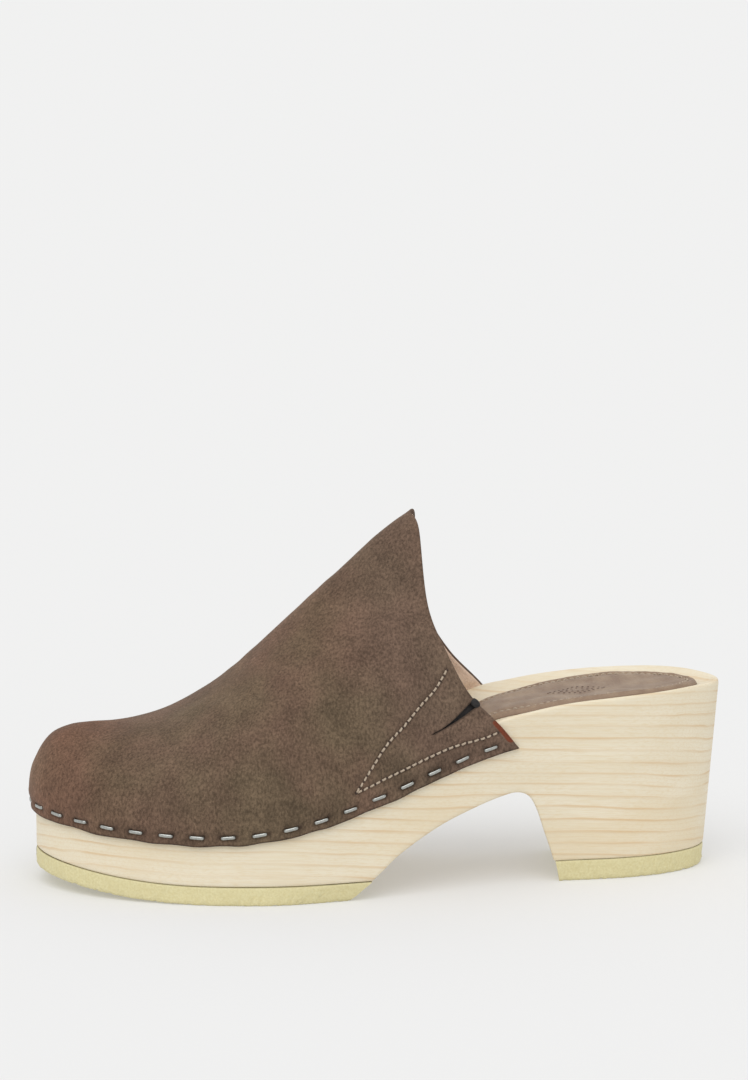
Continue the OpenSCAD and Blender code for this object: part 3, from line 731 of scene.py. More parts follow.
class PathSetter(NodeMaker):
    """A Geometry Nodes tree that sets copies of a small piece along a path, upright on the surface."""

    def __init__(self) -> None:
        """Builds the tree."""
        self.tree = bpy.data.node_groups.new("set_along_path", "GeometryNodeTree")
        self.sockets: dict[str, str] = {}
        sockets = self.tree.interface
        sockets.new_socket("Geometry", in_out="INPUT", socket_type="NodeSocketGeometry")
        for name, kind in (("Piece", "Object"), ("Count", "Int"), ("Turn", "Float"), ("Shrink", "Float"),
                           ("Seed", "Int"), ("Finish", "Material")):
            made = sockets.new_socket(name, in_out="INPUT", socket_type="NodeSocket" + kind)
            self.sockets[name] = made.identifier
        sockets.new_socket("Geometry", in_out="OUTPUT", socket_type="NodeSocketGeometry")
        start, end = self.add("NodeGroupInput"), self.add("NodeGroupOutput")
        line = self.add("GeometryNodeMeshToCurve", {"Mesh": start.outputs["Geometry"]})
        spots = self.add("GeometryNodeResampleCurve",
                         {"Curve": line.outputs[0], "Count": start.outputs["Count"]})
        out = self.add("GeometryNodeInputNamedAttribute", data_type="FLOAT_VECTOR")
        out.inputs["Name"].default_value = "outward"
        upright = self.add("FunctionNodeAxesToRotation", primary_axis="Z", secondary_axis="X")
        self.tree.links.new(next(socket for socket in out.outputs if socket.enabled), upright.inputs[0])
        self.tree.links.new(self.add("GeometryNodeInputTangent").outputs[0], upright.inputs[1])
        bend = self.add("ShaderNodeMath", {0: self.chance(start, "Turn", 1), 1: start.outputs["Turn"]},
                         operation="MULTIPLY")
        twist = self.add("ShaderNodeCombineXYZ", {2: bend.outputs[0]})
        euler = self.add("FunctionNodeEulerToRotation", {0: twist.outputs[0]})
        turned = self.add("FunctionNodeRotateRotation", {0: upright.outputs[0], 1: euler.outputs[0]},
                           rotation_space="LOCAL")
        shrink = self.add("ShaderNodeMath", {0: self.chance(start, "Shrink", 2), 1: start.outputs["Shrink"]},
                           operation="MULTIPLY")
        length = self.add("ShaderNodeMath", {0: 1.0, 1: shrink.outputs[0]}, operation="SUBTRACT")
        size = self.add("ShaderNodeCombineXYZ", {0: length.outputs[0], 1: 1.0, 2: 1.0})
        piece = self.add("GeometryNodeObjectInfo", {"Object": start.outputs["Piece"]})
        placed = self.add("GeometryNodeInstanceOnPoints", {
            "Points": spots.outputs[0], "Instance": piece.outputs["Geometry"],
            "Rotation": turned.outputs[0], "Scale": size.outputs[0]})
        real = self.add("GeometryNodeRealizeInstances", {0: placed.outputs[0]})
        made = self.add("GeometryNodeSetMaterial", {0: real.outputs[0], "Material": start.outputs["Finish"]})
        self.tree.links.new(made.outputs[0], end.inputs[0])

    def chance(self, start: Node, name: str, step: int) -> Socket:
        """A random number for each piece, from -1 to 1 for Turn and 0 to 1 for Shrink.

        Args:
            start: the node that holds the inputs.
            name: which input sets how strong it is.
            step: keeps its draws apart from the others.

        Returns:
            The random number for each piece.
        """
        low = -1.0 if name == "Turn" else 0.0
        seed = self.add("ShaderNodeMath", {0: start.outputs["Seed"], 1: float(step)}, operation="ADD")
        inputs = {2: low, 3: 1.0, "Seed": seed.outputs[0]}
        return self.add("FunctionNodeRandomValue", inputs, data_type="FLOAT").outputs[1]

    def set_out(self, name: str, path: Array, outward: Array, piece: Piece, count: int, turn: float,
                shrink: float, seed: int, finish: Finish) -> Piece:
        """Sets copies out and turns them into one plain mesh.

        Args:
            name: the new object's name.
            path: (points, 3) in millimetres.
            outward: (points, 3), the surface's outward direction.
            piece: what is copied, with X along the path and Z outwards.
            count: how many copies.
            turn: most random turn, in radians.
            shrink: most random loss of length, as a share.
            seed: picks the random draws.
            finish: their finish.

        Returns:
            The new object.
        """
        rail = bpy.data.meshes.new(name + "_rail")
        rail.from_pydata((path * MM).tolist(), [[i, i + 1] for i in range(len(path) - 1)], [])
        rail.attributes.new("outward", "FLOAT_VECTOR", "POINT").data.foreach_set(
            "vector", np.asarray(outward, np.float32).ravel())
        guide = bpy.data.objects.new(name + "_rail", rail)
        bpy.context.scene.collection.objects.link(guide)
        modifier = guide.modifiers.new("set_along_path", "NODES")
        modifier.node_group = self.tree
        inputs = {"Piece": piece, "Count": count, "Turn": turn, "Shrink": shrink, "Seed": seed,
                  "Finish": finish.material}
        for key, value in inputs.items():
            modifier[self.sockets[key]] = value
        view = bpy.context.evaluated_depsgraph_get()
        mesh = bpy.data.meshes.new_from_object(guide.evaluated_get(view))
        mesh.shade_smooth()
        obj = bpy.data.objects.new(name, mesh)
        bpy.context.scene.collection.objects.link(obj)
        bpy.data.objects.remove(guide)
        bpy.data.objects.remove(piece)
        return obj


# ---------- the last that sole and upper are made on ----------

@dataclass(frozen=True)
class Last:
    """Plan and heights of the shoe, as distances from the toe and stations along the plan."""

    length: float = 260
    forefoot_height: float = 33
    seat_height: float = 72
    arch_height: float = 36
    heel_width: float = 62
    heel_side_taper: float = 6
    heel_back_taper: float = 6
    heel_front_slant: float = 6
    slant_range: tuple[float, float] = (140, 176)
    slide_end: tuple[float, float] = (200, 240)
    cup_depth: float = 5
    footbed_depth: float = 2.5
    outsole_thickness: float = 7
    lift_thickness: float = 8
    toe_spring: float = 6
    spring_reach: float = 60
    toe_x: float = -128.8
    back_grip: float = 222
    heel_grip: tuple[float, float] = (130, 190)
    spine_ends: tuple[float, float] = (45, 225)
    spine_y: tuple[float, float] = (2, 4)
    crest: float = 0.95
    hollow_power: float = 2.4
    heel_roundness: float = 1.65
    plan: tuple = ((0, 5, 0), (2.7, 5, 12), (10.7, 4.2, 22.2), (25, 3, 32), (45, 1.8, 40.2), (69, 0.4, 45.2),
                   (93, -0.4, 46), (119, -1, 41.6), (145, -1, 36.6), (171, 0.4, 32.8), (195, 3, 31),
                   (217, 3.6, 30), (236, 4, 25.6), (250, 4.2, 17.4), (257.4, 4.2, 8.8), (260, 4.2, 0))
    plan_steps: tuple = (4, 4, 3, 3, 3, 3, 4, 7, 4, 12, 3, 3, 3, 4, 4)
    rim_rise: tuple = ((0, 0.05), (29, 0.01), (69, 0), (99, 0.09), (129, 0.345), (149, 0.565), (171, 0.805),
                       (184, 0.872), (197, 0.923), (213, 0.962), (229, 0.987), (247, 1.005), (260, 0.99))
    arch_rise: tuple = ((113, 0), (123.5, 0.24), (132, 0.45), (147, 0.71), (161, 0.875), (172, 0.975),
                        (178, 1), (182.5, 0.945), (185.5, 0.8), (188.5, 0.56), (192, 0.28), (194.6, 0))
    hollow_share: tuple = ((0, -0.3), (40, 0), (110, 0), (160, 0.3), (195, 0.9), (220, 1), (260, 0.9))

    def plan_at(self, p: Array) -> Array:
        """Distance from the toe, centre line and half-width at stations p."""
        return outline_at(np.array(self.plan), (1, 1, -1), p)

    def slid(self, p: Array) -> Array:
        """Inner stations moved back with the heel's slanted front, so that rungs across it stay level.

        Args:
            p: stations along the plan, counted from the toe.

        Returns:
            The stations where the inner side is read.
        """
        d = self.plan_at(p)[..., 0]
        rate = (self.plan_at(p + NEAR)[..., 0] - self.plan_at(p - NEAR)[..., 0]) / (2 * NEAR)
        return p + self.heel_front_slant * fade(*self.slant_range, d) * (1 - fade(*self.slide_end, d)) / rate

    def rim_z(self, d: Array) -> Array:
        """Height of the rim."""
        return mix(self.forefoot_height, self.seat_height, curve_at(self.rim_rise, d))

    def floor_z(self, d: Array) -> Array:
        """Height of the tread's underside."""
        return self.toe_spring * np.clip((self.spring_reach - d) / self.spring_reach, 0, 1) ** 2

    def tread_z(self, d: Array) -> Array:
        """Height of the treads' upper side."""
        middle = (self.arch_rise[0][0] + self.arch_rise[-1][0]) / 2
        return np.where(d < middle, self.floor_z(d) + self.outsole_thickness, self.lift_thickness)

    def bottom_z(self, d: Array, side: Array) -> Array:
        """Height of the wood's underside, which slants back towards the inner side at the heel's front.

        Args:
            d: distance from the toe.
            side: OUTER or INNER.

        Returns:
            Heights.
        """
        s = d - np.where(side == INNER, self.heel_front_slant * fade(*self.slant_range, d), 0)
        arched = (s > self.arch_rise[0][0]) & (s < self.arch_rise[-1][0])
        arch = self.arch_height * curve_at(self.arch_rise, s)
        return np.maximum(self.tread_z(d), np.where(arched, arch, 0))

    def wall(self, side: Array, p: Array, z: Array) -> Array:
        """The side of the wood at stations p and heights z.

        Args:
            side: OUTER or INNER.
            p: stations along the plan, counted from the toe.
            z: heights.

        Returns:
            Points of the side.
        """
        d, middle, half = np.moveaxis(self.plan_at(p), -1, 0)
        low = 1 - np.clip(z / self.rim_z(d), 0, 1)
        narrow = fade(*self.heel_grip, d) * low * self.heel_side_taper / (self.heel_width / 2)
        lean = np.where(d > self.back_grip, low * self.heel_back_taper / (self.length - self.back_grip), 0)
        x = self.toe_x + d - lean * (d - self.back_grip)
        return np.stack(np.broadcast_arrays(x, middle + side * half * (1 - narrow), z), -1)

    def outward(self, side: Array, p: Array) -> Array:
        """The level direction out of the side of the wood.

        Args:
            side: OUTER or INNER.
            p: stations along the plan, counted from the toe.

        Returns:
            Directions of length 1.
        """
        z = np.full(np.shape(p), self.forefoot_height)
        t = unit(self.wall(side, p + NEAR, z) - self.wall(side, p - NEAR, z))
        return np.stack([-side * t[..., 1], side * t[..., 0], 0 * t[..., 0]], -1)

    def ring(self, share: float, height: Array, p: Array, side: Array) -> Array:
        """A ring of the wood at a share of the way out from the middle.

        Args:
            share: part of the way out from the middle.
            height: height of each point.
            p: stations along the plan, counted from the toe.
            side: OUTER or INNER.

        Returns:
            The ring's points.
        """
        q = self.wall(side, p, height)
        d = np.clip(self.plan_at(p)[..., 0], *self.spine_ends)
        spine = np.stack([self.toe_x + d, mix(*self.spine_y, ease(d / self.length)), height], -1)
        return np.concatenate([mix(spine, q, share)[..., :2], height[..., None]], -1)

    def seat_z(self, x: Array, share: Array) -> Array:
        """Height of the wood's upper side at x and a share of the way out.

        Args:
            x: distance along the shoe.
            share: part of the way out from the middle.

        Returns:
            Heights.
        """
        d = np.clip(x - self.toe_x, 0, self.length)
        hollow = mix(self.footbed_depth, self.cup_depth, curve_at(self.hollow_share, d))
        return self.rim_z(d) - hollow * (1 - np.minimum(1, share / self.crest) ** self.hollow_power)

    def bed_z(self, x: Array, y: Array) -> Array:
        """Height of the wood's upper side at a place in plan.

        Args:
            x: distance along the shoe.
            y: distance across it.

        Returns:
            Heights.
        """
        rows, n = np.array(self.plan), self.heel_roundness
        d = x - self.toe_x
        s = np.minimum(d, self.spine_ends[1])
        centre = mix(*self.spine_y, ease(s / self.length))
        middle = curve_at(rows[:, :2], s)
        side = np.where(y < centre, OUTER, INNER)
        sideways = np.abs(y - centre) / (curve_at(rows[:, ::2], s) + side * (middle - centre))
        beyond = np.maximum(d - s, 0) / (self.length - self.spine_ends[1])
        return self.seat_z(x, np.clip((sideways ** n + beyond ** n) ** (1 / n), 0, 1))

    def clear_of(self, points: Array, clearance: float, share: Array) -> Array:
        """Moves points sideways until they stand clear of the wood.

        Args:
            points: (..., 3).
            clearance: how far outside the wood they come to stand.
            share: how much of the move each point makes.

        Returns:
            The points.
        """
        p = np.linspace(0, len(self.plan) - 1, 901)
        p = np.interp(points[..., 0] - self.toe_x, self.plan_at(p)[:, 0], p)
        d, middle, _ = np.moveaxis(self.plan_at(p), -1, 0)
        side = np.where(points[..., 1] < middle, OUTER, INNER)
        wall = self.wall(side, p, np.minimum(points[..., 2], self.rim_z(d)))[..., 1]
        short = np.maximum(side * (wall - points[..., 1]) + clearance, 0)
        moved = points.copy()
        moved[..., 1] += side * short * share * fade(3, 0, points[..., 2] - self.rim_z(d))
        return moved


# ---------- sole and treads ----------

@dataclass
class WoodenSole:
    """The one-piece carved sole with its block heel."""

    last: Last
    rim_round: float = 1.9
    foot_round: float = 1.2
    half_width: float = 40
    seat_shares: tuple[float, ...] = (0.93, 0.9, 0.86, 0.8, 0.74, 0.66, 0.58, 0.48, 0.38, 0.28, 0.18, 0.08)
    finer: int = 3
    carving: float = 0.1
    carving_length: float = 24

    def stations(self) -> tuple[Array, Array]:
        """Stations and sides round the sole, from the toe along the outer side and back.

        Returns:
            The stations, and the side of each.
        """
        steps = self.last.plan_steps
        one_way = np.array([k + s / (n * self.finer) for k, n in enumerate(steps)
                            for s in range(n * self.finer)] + [len(steps)])
        return (np.concatenate([one_way, self.last.slid(one_way[-2:0:-1])]),
                np.concatenate([np.full(len(one_way), OUTER), np.full(len(one_way) - 2, INNER)]))

    def build(self) -> Piece:
        """Makes the sole.

        Returns:
            The sole.
        """
        last = self.last
        p, side = self.stations()
        d = last.plan_at(p)[..., 0]
        low, rim = last.bottom_z(d, side), last.rim_z(d)
        rings = []
        foot, rises = (0, 30, 60, 90), np.linspace(0, 1, 16)[1:]
        for angle in foot:
            turn = math.radians(angle)
            inset = self.foot_round * (1 - math.sin(turn)) / self.half_width
            rings.append(last.ring(1 - inset, low + self.foot_round * (1 - math.cos(turn)), p, side))
        for share in rises:
            height = mix(low + self.foot_round, rim - self.rim_round, share)
            rings.append(last.ring(1, height, p, side))
        for angle in (15, 30, 45, 60, 75, 90):
            turn = math.radians(angle)
            share = 1 - (1 - last.crest) * (1 - math.cos(turn)) / 2
            rings.append(last.ring(share, rim - self.rim_round * (1 - math.sin(turn)), p, side))
        for share in (last.crest, *self.seat_shares):
            q = last.ring(share, np.full(len(p), 2 * last.seat_height), p, side)
            q[:, 2] = last.seat_z(q[:, 0], share)
            rings.append(q)
        points = np.array(rings)
        worked = self.carving * ripple(points, self.carving_length, 5, (3, 1, 1))
        wall = slice(len(foot), len(foot) + len(rises) + 1)
        points[wall, :, 1] += (worked * side)[wall]
        faces = stack_faces(len(points), len(p))
        obj = make_object("wooden_sole_carved", points.reshape(-1, 3), faces, sharp=50)
        return dress(obj, "wood", [Finish.WOOD.material], "wooden_sole")


@dataclass
class Tread:
    """A crepe rubber tread with a crinkled, torn-looking lower edge."""

    last: Last
    name: str
    node: str
    first: float
    end: float
    low: Callable[[Array], Array]
    high: Callable[[Array], Array]
    shift: Callable[[Array], Array]
    slant: Callable[[Array], Array]
    sections: int
    crinkle: float = 0.2
    pitch: float = 1.8
    glue_and_shade_strength: float = 0.4

    def build(self) -> Piece:
        """Makes the tread.

        Returns:
            The tread.
        """
        share = np.linspace(0, 1, self.sections)
        p = mix(self.first, self.end, share)
        d = self.last.plan_at(p)[..., 0]
        levels = np.array([0, 0.05, 0.12, 0.22, 0.35, 0.5, 0.66, 0.8, 0.9, 0.96, 1])
        inset = np.array([0.8, 0.3, 0.1, 0, 0, 0, 0, 0, 0, 0.05, 0.25])
        sides = []
        for side in (OUTER, INNER):
            away = self.last.outward(side, p)
            column = []
            for level, back in zip(levels, inset):
                z = mix(self.low(d), self.high(d), level)
                q = self.last.wall(side, p, z)
                q[:, 0] += self.shift(share) * (1 - level) + (self.slant(share) if side == INNER else 0)
                rough = 1 - ease(abs(level - 0.3) / 0.9)
                grain = ripple(q, self.pitch, 11) + 0.5 * ripple(q, self.pitch * 2.7, 12)
                relief = self.crinkle * grain * rough
                q += away * (relief * 0.8 - back)[:, None]
                torn = np.maximum(0, ripple(q * (1, 1, 0), self.pitch, 13)) * self.crinkle * 1.5
                q[:, 2] += torn * (1 - ease(level / 0.25))
                column.append(q)
            sides.append(column)
        loop = np.array(sides[0] + sides[1][::-1]).transpose(1, 0, 2)
        count, size = loop.shape[:2]
        faces = loft_faces(count, size, True) + blunt_ends(count, size, True)
        # the top row: a dark glue line, partly painted shade in the gap under the wood
        glued = np.concatenate([levels, levels[::-1]]) == 1
        mark_next(dark=np.tile(glued * self.glue_and_shade_strength, count))
        obj = make_object(self.name, loop.reshape(-1, 3), faces, sharp=60)
        return dress(obj, "tread_rubber", [Finish.RUBBER.material], self.node)


# ---------- upper ----------

@dataclass
class Upper:
    """The suede upper with its lining, gore, seams and staples."""

    last: Last
    setter: PathSetter
    suede: float = 1.7
    gap: float = 0.1
    lining: float = 0.8
    puff: float = 1.0
    gore: float = 1.0
    toe_box_height: float = 60.4
    vamp_height: float = 138.8
    band_drop: float = 10
    slit_width: float = 2.6
    staple_pitch: float = 11.6
    staple_margin: float = 3.6
    staple_end_margin: float = 9.5
    stitch_pitch: float = 2.5
    ridge_y: float = 4
    lip_reach: float = 17
    slit_start: float = 8.25
    edge_radius: float = 0.65
    span: float = 160
    raw_end: float = 1.45
    lining_end: float = 0.997
    gore_stations: tuple[float, float] = (7.5, 9.22)
    mouth_station: float = 9.235
    rib_depth: float = 0.14
    tip_width: float = 0.22
    tip_cut: tuple[float, float, float] = (2.6, 0, 2.4)
    lean_width: float = 0.95
    tip_lean: tuple[float, float, float] = (3.4, 0, 1.7)
    rear_station: tuple[float, float] = (9.27, 9.45)
    crown: float = 5
    drop_share: tuple = ((0, 0.75), (30, 0.95), (69, 1.02), (100, 0.9), (130, 0.93), (155, 1.05), (171, 1.22),
                         (184, 1.28))
    ridge_place: tuple = ((0, 21), (1, 22.5), (2, 27.5), (3, 37), (4, 51), (5, 69), (6, 87), (7, 104.5),
                          (8, 121), (9.27, 140.6))
    ridge_rise: tuple = ((21, 0), (37, 0.005), (53, 0.062), (69, 0.192), (93, 0.458), (117, 0.736),
                         (132, 0.905), (140.6, 1))
    toe_rib: tuple = ((0, 0, 0), (-0.03, -0.03, 0.27), (0.035, 0.035, 0.53), (0.29, 0.29, 0.835),
                      (0.62, 0.62, 0.965), (1, 1, 1))
    vamp_rib: tuple = ((0, 0, 0), (0, -0.02, 0.2), (0.05, 0.05, 0.43), (0.24, 0.24, 0.69), (0.56, 0.57, 0.91),
                       (1, 1, 1))
    outer_rib: tuple = ((0, 0, 0), (0.21, -0.01, 0.114), (0.5, 0.03, 0.247), (0.73, 0.14, 0.438),
                        (0.916, 0.42, 0.648), (1, 1, 1))
    inner_rib: tuple = ((0, 0, 0), (0.22, -0.01, 0.14), (0.525, 0.03, 0.3), (0.765, 0.14, 0.5),
                        (0.91, 0.42, 0.76), (1, 1, 1))
    slit_line: tuple = ((0, 1.46), (8.3, 1.46), (8.5, 1.47), (8.7, 1.52), (8.86, 1.58), (9.03, 1.65),
                        (9.27, 1.76))
    rim_clear: tuple = ((0, 1.05), (5, 1.0), (7, 1.05), (9.45, 1.3))
    upper_seam: tuple = ((6.88, 0.79), (7.14, 1.24), (7.51, 1.73), (7.97, 2.01), (8.31, 2.21), (8.71, 2.38),
                         (9.12, 2.64))
    lower_seam: tuple = ((6.89, 0.79), (7.1, 0.81), (7.4, 0.86), (8.06, 0.89), (8.4, 0.88), (8.9, 0.75),
                         (9.15, 0.77))

    def half_rib(self, side: int, u: Array, depth: float) -> Array:
        """Guide points of half the ribs at u, from the lower edge to the ridge.

        Args:
            side: OUTER or INNER.
            u: places along the upper.
            depth: distance in from the outer face, in millimetres.

        Returns:
            (ribs, guide points, 3) positions.
        """
        p = u * self.rear_station[0 if side == OUTER else 1]
        d = self.last.plan_at(p)[..., 0]
        z = self.last.rim_z(d) - self.band_drop * curve_at(self.drop_share, d)
        low = self.last.wall(side, p, z) + self.last.outward(side, p) * (self.suede + self.gap - depth)
        s = u * self.rear_station[0]
        place = curve_at(self.ridge_place, s)
        height = mix(self.toe_box_height, self.vamp_height, curve_at(self.ridge_rise, place))
        top = np.stack([self.last.toe_x + place, np.full_like(place, self.ridge_y), height - depth], -1)
        front = mix(np.array(self.toe_rib), np.array(self.vamp_rib), fade(0, 3.6, s)[:, None, None])
        rear = np.array(self.outer_rib if side == OUTER else self.inner_rib)
        shape = mix(front, rear, fade(4.6, self.rear_station[0], s)[:, None, None])
        return mix(low[:, None], top[:, None], shape)

    def face(self, u: Array, v: Array, depth: float) -> Array:
        """Points of the upper.

        Args:
            u: (lines,) places along it, 0 at the toe and 1 at the topline.
            v: (lines, points) places round each rib, 0 at the outer and 10 at the inner lower edge.
            depth: how far below the suede's face, one number.

        Returns:
            (lines, points, 3).
        """
        near, far = self.half_rib(OUTER, u, depth), self.half_rib(INNER, u, depth)
        points = lines_at(np.concatenate([near, far[:, -2::-1]], 1), v)
        points = self.last.clear_of(points, self.suede - depth, fade(0.5, 0.7, u)[:, None])
        end = fade(0.9, 1, u)[:, None]
        beside = v - self.crown
        lean = (np.exp(-(beside / self.lean_width) ** 2) * end)[..., None] * np.array(self.tip_lean)
        cut = (np.exp(-(beside / self.tip_width) ** 2) * end ** 3)[..., None] * np.array(self.tip_cut)
        return points + lean - cut

    def layer(self, u: Array, v: Array, depth: Array) -> Array:
        """Points of the upper at a depth of their own."""
        face, below = self.face(u, v, 0), self.face(u, v, 1)
        return face + (below - face) * depth[..., None]

    def outwards(self, u: Array, v: Array) -> Array:
        """Directions out of the face."""
        return unit(self.face(u, v, 0) - self.face(u, v, 1))

    def normals(self, points: Array) -> Array:
        """Directions square to a grid of points.

        Args:
            points: (rows, columns, 3) positions.

        Returns:
            Directions of length 1.
        """
        n = unit(np.cross(np.gradient(points, axis=0), np.gradient(points, axis=1)))
        n[0, :, 1] = 0
        return unit(n)

    def edge_share(self, u: Array) -> Array:
        """How much v one millimetre is near the lower edge."""
        rib = self.half_rib(OUTER, u, 0)
        return 1 / np.linalg.norm(rib[:, 1] - rib[:, 0], axis=-1)

    def staple_line(self) -> tuple[Array, Array, int]:
        """Sets out the staples.

        Returns:
            Their line from the outer corner round the toe to the inner corner, its outward ways and how many
            staples stand along it.
        """
        u = np.abs(np.linspace(-1, 1, 241))
        v = self.staple_margin * self.edge_share(u)
        v[121:] = 2 * self.crown - v[121:]
        points, out = self.face(u, v[:, None], 0)[:, 0], self.outwards(u, v[:, None])[:, 0]
        count = int((length_of(points) - 2 * self.staple_end_margin) / self.staple_pitch) + 1
        return (*spaced(points, out, 481, self.staple_end_margin), count)

    def seam_line(self, seam: Sequence[Sequence[float]]) -> tuple[Array, Array]:
        """Reads a seam.

        Args:
            seam: its knots of station and place round the rib.

        Returns:
            Its points and outward ways.
        """
        p = np.linspace(seam[0][0], seam[-1][0], 121)
        u, v = p / self.rear_station[0], curve_at(seam, p)[:, None]
        return self.face(u, v, 0)[:, 0], self.outwards(u, v)[:, 0]

    def rows(self) -> tuple[Array, Array, int, Array, Array]:
        """Sets out the suede's grid.

        Returns:
            u, v, the column of the lower lip, and each point's distances from the lower edge and the slit.
        """
        close = np.array([0, 0.15, 0.4, 0.8, 1.4, 2.0, 2.5, 3.0])
        u = np.concatenate([np.linspace(0, 1 - 3.8 / self.span, 158), 1 - close[::-1] / self.span])
        p = u * self.rear_station[0]
        per_mm = self.edge_share(u)[:, None]
        edge = np.array([0, 0.15, 0.4, 0.8, 1.3, 1.9, 2.5, 3.1, 3.7, 4.3, 5.0, 6.0, 7.2])
        lip = np.array([0, 0.15, 0.4, 0.8])
        spread = mix(3.0, 1.0, fade(7.5, 8.2, p))[:, None]
        t = np.clip((p - self.slit_start) / (self.rear_station[0] - self.slit_start), 0, 1)
        wide = self.slit_width / 2 * (0.04 + 0.96 * np.sin(t * math.pi / 2) ** 2.2) * (p >= self.slit_start)
        opening = np.maximum(wide / self.lip_reach, 0.008)[:, None]
        slit = curve_at(self.slit_line, p)[:, None]
        low = np.hstack([edge * per_mm, slit - opening - lip[::-1] / self.lip_reach * spread])
        join = len(edge)
        between = mix(low[:, join - 1:join], low[:, join:join + 1], np.linspace(0, 1, 11)[1:-1])
        low = np.hstack([low[:, :join], between, low[:, join:]])
        high = slit + opening + lip / self.lip_reach * spread
        high = np.hstack([high[:, :-1], mix(high[:, -1:], self.crown, np.linspace(0, 1, 72))])
        half = np.hstack([low, high])
        v = np.hstack([half, 2 * self.crown - half[:, -2::-1]])
        down = np.minimum(v, 2 * self.crown - v) / per_mm
        beside = np.minimum(np.abs(v - slit + opening), np.abs(v - slit - opening)) * self.lip_reach
        beside = np.where((v < self.crown) & (p >= self.slit_start)[:, None], beside, 99)
        return u, v, low.shape[1] - 1, down, beside

    def rounding(self, distance: Array) -> Array:
        """How deep a rounded edge lies below the face at a distance from it."""
        r = self.edge_radius
        return r - np.sqrt(np.maximum(r * r - (r - np.minimum(distance, r)) ** 2, 0))

    def staple_marks(self, face: Array, down: Array) -> tuple[Array, Array]:
        """Presses the suede in under each staple and puckers it beside, and paints shade in the dents.

        Args:
            face: the suede's points.
            down: their distance from the lower edge.

        Returns:
            How far each point rises, and how much painted shade it gets in the dents at the legs and under
            the crown.
        """
        line, _, count = self.staple_line()
        spots = np.linspace(0, len(line) - 1, count).astype(int)
        middles, ways = line[spots], unit(np.gradient(line, axis=0))[spots]
        near = down < 8
        offset = face[near][:, None] - middles[None]
        run = np.abs((offset * ways[None]).sum(-1))
        across = np.sqrt(np.maximum((offset ** 2).sum(-1) - run ** 2, 0))
        ends = np.exp(-((run - 2.7) / 0.9) ** 2 - (across / 1.2) ** 2).sum(-1)
        crowns = (np.exp(-(across / 1.3) ** 2) * (1 - ease((run - 2.2) / 1.4))).sum(-1)
        puckers = (np.exp(-(run / 3.2) ** 2 - ((across - 3.4) / 2.2) ** 2)).sum(-1)
        rise, staple_shade = np.zeros(down.shape), np.zeros(down.shape)
        rise[near] = -0.55 * ends - 0.5 * np.minimum(crowns, 1.1) + 0.12 * puckers
        # painted shade: darker in the dents at the staple's legs and under its crown
        staple_shade[near] = np.minimum(0.65 * ends + 0.35 * np.minimum(crowns, 1), 0.9)
        return rise, staple_shade

    def seam_groove(self, face: Array, u: Array, v: Array) -> Array:
        """Draws the suede in along the gore's seams.

        Args:
            face: the suede's points.
            u: their places along the upper.
            v: their places round each rib.

        Returns:
            How deep each point lies, from 0 to 1, or a little below 0 where it swells.
        """
        groove = np.zeros(v.shape)
        zone = (u[:, None] > 0.7) & (v < self.crown - 1.5)
        for seam in (self.upper_seam, self.lower_seam):
            points, _ = self.seam_line(seam)
            gap = np.linalg.norm(face[zone][:, None] - points[None, ::2], axis=-1).min(-1)
            groove[zone] += np.exp(-(gap / 1.0) ** 2) - 0.45 * np.exp(-((gap - 2.4) / 1.3) ** 2)
        return groove

    def build_suede(self) -> Piece:
        """Makes the suede.

        Returns:
            The suede.
        """
        u, v, lip, down, beside = self.rows()
        p = np.broadcast_to((u * self.rear_station[0])[:, None], v.shape)
        behind = np.broadcast_to(((1 - u) * self.span)[:, None], v.shape)
        skived = fade(1.8, 1.1, behind) * fade(0.22, 0.4, v) * fade(1.25, 1.05, v)
        depth = np.maximum.reduce([self.rounding(down), self.rounding(beside), self.rounding(behind),
                                   0.35 * skived])
        face, under = self.layer(u, v, depth), self.layer(u, v, self.suede - depth)
        n = self.normals(self.face(u, v, 0))
        rise, staple_shade = self.staple_marks(face, down)
        groove = self.seam_groove(face, u, v)
        soft = 0.22 * ripple(face, 30, 1, (1.5, 1, 1)) + 0.07 * ripple(face, 10, 2)
        soft *= fade(0, 6, np.minimum(behind, down))
        lift = rise + soft - 0.38 * groove
        face += n * lift[..., None]
        under += n * (np.minimum(lift, 0) * fade(1.5, 5, down) * 0.3)[..., None]
        sag = 0.2 * ripple(face, 12, 3) * (1 - ease(down / 3.5))
        face[..., 2] += sag
        under[..., 2] += sag
        dark_edge = np.maximum.reduce([1 - ease(down / 1.1), 0.75 * (1 - ease(beside / 0.9)),
                                       0.3 * (1 - ease(behind / 0.6))])
        # dark mark: darker cut edges, painted shade round the staples, and painted shade in the gore's seam
        # grooves
        dark = np.clip(np.maximum.reduce([0.85 * dark_edge, staple_shade, 0.35 * np.clip(groove, 0, 1)]), 0, 1)
        shades = {
            "dark": dark * (1 - skived), "raw": skived, "rear": fade(6.8, 8.6, p),
            "toe": fade(4.2, 0.6, p) * 0.9 + 0.25 * fade(30, 60, down),
            # a paler patch on the toe, about 17 mm above the lower edge
            "paler_toe_patch": np.clip(0.55 * fade(2.6, 0.4, p) * (1 - ease(np.abs(down - 17) / 13)), 0, 1)}
        mark_next(**{name: np.stack([value, value]) for name, value in shades.items()})
        keep = np.ones((v.shape[0] - 1, v.shape[1] - 1), bool)
        keep[p[:-1, 0] >= self.slit_start, lip] = False
        faces, kinds = shell_faces(*v.shape, True, keep)
        heights = np.concatenate([v.ravel(), v.ravel()])[faces].mean(1)
        paint = np.where(kinds == 2, 1, np.where((kinds == 3) & (heights < self.raw_end), 2, 0))
        obj = make_object("suede_upper_shaped", both_sides(face, under), faces, paint, 80)
        finishes = [Finish.SUEDE.material, Finish.CUT_EDGE.material, Finish.RAW_EDGE.material]
        return dress(obj, "suede", finishes, "suede_upper")

